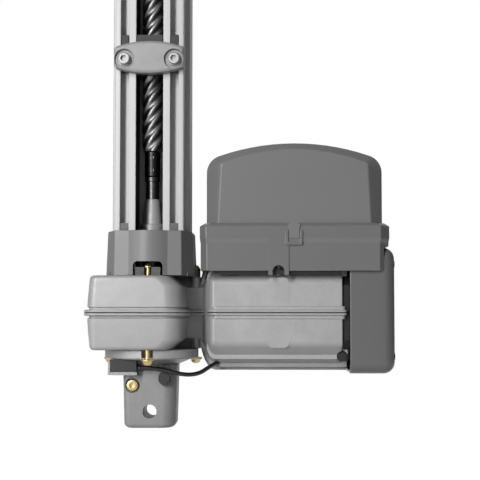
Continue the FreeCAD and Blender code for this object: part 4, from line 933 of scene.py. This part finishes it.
def lower_cover_piece():
    """Round cover with a dished middle, notched for its screws and the sensor."""
    box = Extent("lower_bearing_cover")
    radius, top, bottom = box.x1, box.z1, cover_face
    dish_outer, dish_inner = 36.5, 23.0
    profile = [(0, top), (radius - 0.8, top), (radius, top - 0.8), (radius, bottom + 1.2),
               (radius - 1, bottom + 0.2), (dish_outer, bottom), (dish_outer - 1.5, bottom - 0.3),
               (dish_inner + 1, box.z0 + 0.3), (dish_inner, box.z0), (0, box.z0)]
    made = lathe("cover", profile, count=96)
    places = [(x, y, 0) for x, y in screw_places(cover_screw_y)]
    notches = [lathe("notch", round_pin(5.4, bottom + 1.5, top + 1), "z", place, 32) for place in places]
    notches += [lathe("relief", round_pin(6.2, bottom - 15, bottom), "z", place, 32) for place in places]
    sensor_room = rectangle_points(-35.0, -5.0, -32, -18.9)
    notches.append(slab("sensor_room", sensor_room, level, bottom - 25, bottom))
    cut(made, notches)
    softened(made, 0.4, 2, 40)
    dress(made, casting, "frame", ["lower_bearing_cover"])


def knuckle_piece():
    """Tapering block with a rounded foot, the pivot bore and the screw in its pocket."""
    box, screw = Extent("pivot_knuckle"), Extent("knuckle_screw")
    flare, bore_radius, face = 1.5, 6.0, box.y0
    rows = [(box.z0, 3.6), (box.z0 + 0.5, 2.4), (box.z0 + 1.6, 1.0), (box.z0 + 3.6, 0.0), (box.z1, 0.0)]
    rings = []
    for z, inset in rows:
        half = box.x1 - flare * (box.z1 - z) / (box.z1 - box.z0) - inset
        deep = box.y1 - inset * 0.6
        corners = [(-half, -deep, 5), (half, -deep, 11), (half, deep, 5), (-half, deep, 5)]
        rings.append(level(rounded(corners, 8), z))
    made = loft("knuckle", rings)
    start, end = face - 6, 6 - face
    bore = lathe("bore", [(0, start), (bore_radius, start), (bore_radius, end), (0, end)], "y")
    place = (screw.x, 0, screw.z)
    pocket_profile = [(0, start), (7.0, start), (6.4, face + 0.6), (6.2, face + 3.5), (0, face + 3.5)]
    cut(made, [bore, lathe("pocket", pocket_profile, "y", place)])
    softened(made, 0.4, 2, 40)
    dress(made, knuckle_metal, "frame", ["pivot_knuckle"])
    head_profile = [(0, face + 4), (5.2, face + 4), (5.2, face + 0.6), (4.6, face - 0.3),
                    (3.4, face - 0.55), (2.4, face - 0.5), (2.1, face + 1), (0, face + 1.2)]
    dress(lathe("head", head_profile, "y", place, 40), brassy, "frame", ["knuckle_screw"])


# The sensor's cable: the route of the CAD model, in metres.
cable_diameter = 0.0037
cable_points = [(-0.007, -0.0235, 0.0375), (0.003, -0.0235, 0.0375), (0.014, -0.0236, 0.0354),
                (0.025, -0.0232, 0.0326), (0.035, -0.0200, 0.0313), (0.0435, -0.012, 0.0328),
                (0.0505, 0.0, 0.0376), (0.058, 0.012, 0.0412)]


def sensor_pieces():
    """Sensor body with a collar where the cable leaves it."""
    box = Extent("pulse_sensor")
    body_end = -10.0
    body = slab("body", rounded(rectangle(box.x0, body_end, box.y0, box.y1, 0.8), 3), level, box.z0, box.z1)
    softened(body, 0.5, 2)
    exit_place = Vector(cable_points[0]) / mm
    profile = round_pin(2.85, body_end - 0.5, box.x1, 0.6)
    collar = lathe("collar", profile, "x", (0, exit_place.y, exit_place.z), 32)
    dress(joined("sensor_body", [body, collar]), black_plastic, "frame", ["pulse_sensor"])


def cable_piece():
    """The sensor's cable, from the sensor to the motor's shoulder."""
    curve = bpy.data.curves.new("sensor_lead", "CURVE")
    curve.dimensions = "3D"
    curve.bevel_depth = cable_diameter / 2
    curve.bevel_resolution = 6
    curve.resolution_u = 12
    curve.use_fill_caps = True
    spline = curve.splines.new("NURBS")
    spline.points.add(len(cable_points) - 1)
    for point, place in zip(spline.points, cable_points):
        point.co = (*place, 1.0)
    spline.order_u = 3
    spline.use_endpoint_u = True
    made = added("sensor_lead", curve)
    curve.materials.append(jacket)
    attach(made, "frame")
    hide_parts("sensor_cable")


sensor_pieces()
cable_piece()
rail_piece()
screw_piece()
drive_line_pieces()
carriage_pieces()
housing_piece("upper_housing", 1)
housing_piece("lower_housing", -1)
cap_piece()
tray_pieces()
dome_piece()
socket_pieces()
brass_screws()
lower_cover_piece()
knuckle_piece()

# Nodes that keep their CAD shape, with the material that each group gets
kept = [
    (clamp_metal, ["rail_clamp_blocks", "stator_core", "rotor_core"]),
    (end_metal, ["rail_end_block"]),
    (foot_metal, ["rail_foot"]),
    (zinc, ["rail_end_screws", "housing_bolts", "tray_studs", "sleeve_pins"]),
    (sleeve_metal, ["clip_screw"]),
    (seal_rubber, ["end_seal", "housing_gasket", "oil_seal"]),
    (black_plastic, ["cable_gland", "cable_clip", "board_standoffs", "relay_pair", "cooling_fan"]),
    (bracket_metal, ["sensor_bracket"]),
    (shoe_plastic, ["guide_shoes", "drive_nut"]),
    (spindle_metal, ["motor_bearings", "output_bearings", "worm_shaft", "wheel_key", "motor_end_shield",
                     "magnet_disc"]),
    (brassy, ["stator_windings", "worm_wheel", "rail_end_bush"]),
    (board_green, ["control_board"]),
    (wrap_yellow, ["transformer"]),
    (can_white, ["run_capacitor"]),
    (block_blue, ["terminal_block"]),
]
for material, nodes in kept:
    for node in nodes:
        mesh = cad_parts[node].data
        mesh.materials.clear()
        mesh.materials.append(material)


# Floor, backdrop, light and camera

def white_for_camera(name, colour, share):
    """A pale surface that looks white in the picture and in what mirrors it, and keeps a soft shadow."""
    material = bpy.data.materials.new(name)
    material.use_nodes = True
    tree = material.node_tree
    shader = tree.nodes["Principled BSDF"]
    shader.inputs["Base Color"].default_value = colour
    shader.inputs["Roughness"].default_value = 0.9
    glow = tree.nodes.new("ShaderNodeEmission")
    glow.inputs["Strength"].default_value = 1.09
    mix = tree.nodes.new("ShaderNodeMixShader")
    scaled = tree.nodes.new("ShaderNodeMath")
    scaled.operation = "MULTIPLY"
    scaled.inputs[1].default_value = share
    tree.links.new(seen_rays(tree), scaled.inputs[0])
    tree.links.new(scaled.outputs["Value"], mix.inputs["Fac"])
    tree.links.new(shader.outputs["BSDF"], mix.inputs[1])
    tree.links.new(glow.outputs["Emission"], mix.inputs[2])
    tree.links.new(mix.outputs["Shader"], tree.nodes["Material Output"].inputs["Surface"])
    return material


def seen_rays(tree):
    """1 for rays from the camera, a mirror or glass, 0 for the others."""
    path = tree.nodes.new("ShaderNodeLightPath")
    value = path.outputs["Is Camera Ray"]
    for name in ("Is Glossy Ray", "Is Transmission Ray"):
        node = tree.nodes.new("ShaderNodeMath")
        node.operation = "MAXIMUM"
        tree.links.new(value, node.inputs[0])
        tree.links.new(path.outputs[name], node.inputs[1])
        value = node.outputs["Value"]
    return value


def floor_piece():
    """Wide pale floor, below the part."""
    size, thickness, top = 6000.0, 10.0, -300.0
    made = slab("floor", rectangle_points(-size, size, -size, size), level, top - thickness, top)
    made.data.materials.append(white_for_camera("floor_white", grey(0.5), 0.93))


def world_light(ambient, room):
    """White where it is seen, a white backdrop and a grey room in mirrors, and a weak light elsewhere."""
    backdrop_edge, backdrop_full = 0.80, 0.95
    world = bpy.data.worlds.new("studio")
    bpy.context.scene.world = world
    world.use_nodes = True
    tree = world.node_tree
    background = tree.nodes["Background"]
    background.inputs["Color"].default_value = (1, 1, 1, 1)
    direction = tree.nodes.new("ShaderNodeSeparateXYZ")
    tree.links.new(tree.nodes.new("ShaderNodeTexCoord").outputs["Generated"], direction.inputs["Vector"])
    mirrored_level = tree.nodes.new("ShaderNodeMapRange")
    mirrored_level.inputs["From Min"].default_value = backdrop_edge
    mirrored_level.inputs["From Max"].default_value = backdrop_full
    mirrored_level.inputs["To Min"].default_value = room
    mirrored_level.inputs["To Max"].default_value = 1.0
    tree.links.new(direction.outputs["Y"], mirrored_level.inputs["Value"])
    path = tree.nodes.new("ShaderNodeLightPath")
    level_in_view = tree.nodes.new("ShaderNodeMath")
    level_in_view.operation = "MAXIMUM"
    tree.links.new(mirrored_level.outputs["Result"], level_in_view.inputs[0])
    tree.links.new(path.outputs["Is Camera Ray"], level_in_view.inputs[1])
    strength = tree.nodes.new("ShaderNodeMapRange")
    strength.inputs["To Min"].default_value = ambient
    tree.links.new(level_in_view.outputs["Value"], strength.inputs["To Max"])
    tree.links.new(seen_rays(tree), strength.inputs["Value"])
    tree.links.new(strength.outputs["Result"], background.inputs["Strength"])


def lamp(name, place, target, size, power, mirrored=True):
    """Area lamp aimed at a target, which metal may mirror."""
    light = bpy.data.lights.new(name, "AREA")
    light.shape = "RECTANGLE"
    light.size, light.size_y = size
    light.energy = power
    made = added(name, light)
    made.location = place
    made.visible_glossy = mirrored
    made.rotation_euler = (Vector(target) - Vector(place)).to_track_quat("-Z", "Y").to_euler()


def camera():
    """Stands where the photograph was taken, aimed so that the part has the same place in the picture."""
    eye = Vector((0.1015, -1.050, 0.0865))
    # In pixels: the picture's width, its point straight ahead along Y, and the focal length
    width = 480
    vanishing = (268.0, 310.4)
    focal = 1200.0
    data = bpy.data.cameras.new("camera")
    data.lens = data.sensor_width * focal / width
    data.clip_end = 50
    made = added("camera", data)
    made.location = eye
    sight = Vector(((width / 2 - vanishing[0]) / focal, 1.0, (vanishing[1] - width / 2) / focal))
    made.rotation_euler = sight.to_track_quat("-Z", "Y").to_euler()
    bpy.context.scene.camera = made


floor_piece()
world_light(0.07, 0.25)
lamp("key_lamp", (-0.60, -1.46, 0.62), (0.05, 0, 0.12), (0.25, 1.2), 23)
lamp("low_lamp", (-1.35, -1.05, 0.15), (0.05, 0, 0.15), (0.2, 0.6), 4)
lamp("front_lamp", (0.10, -1.80, 0.25), (0.08, 0, 0.15), (0.5, 0.5), 0.8, False)
camera()
bpy.context.scene.view_settings.view_transform = "Standard"
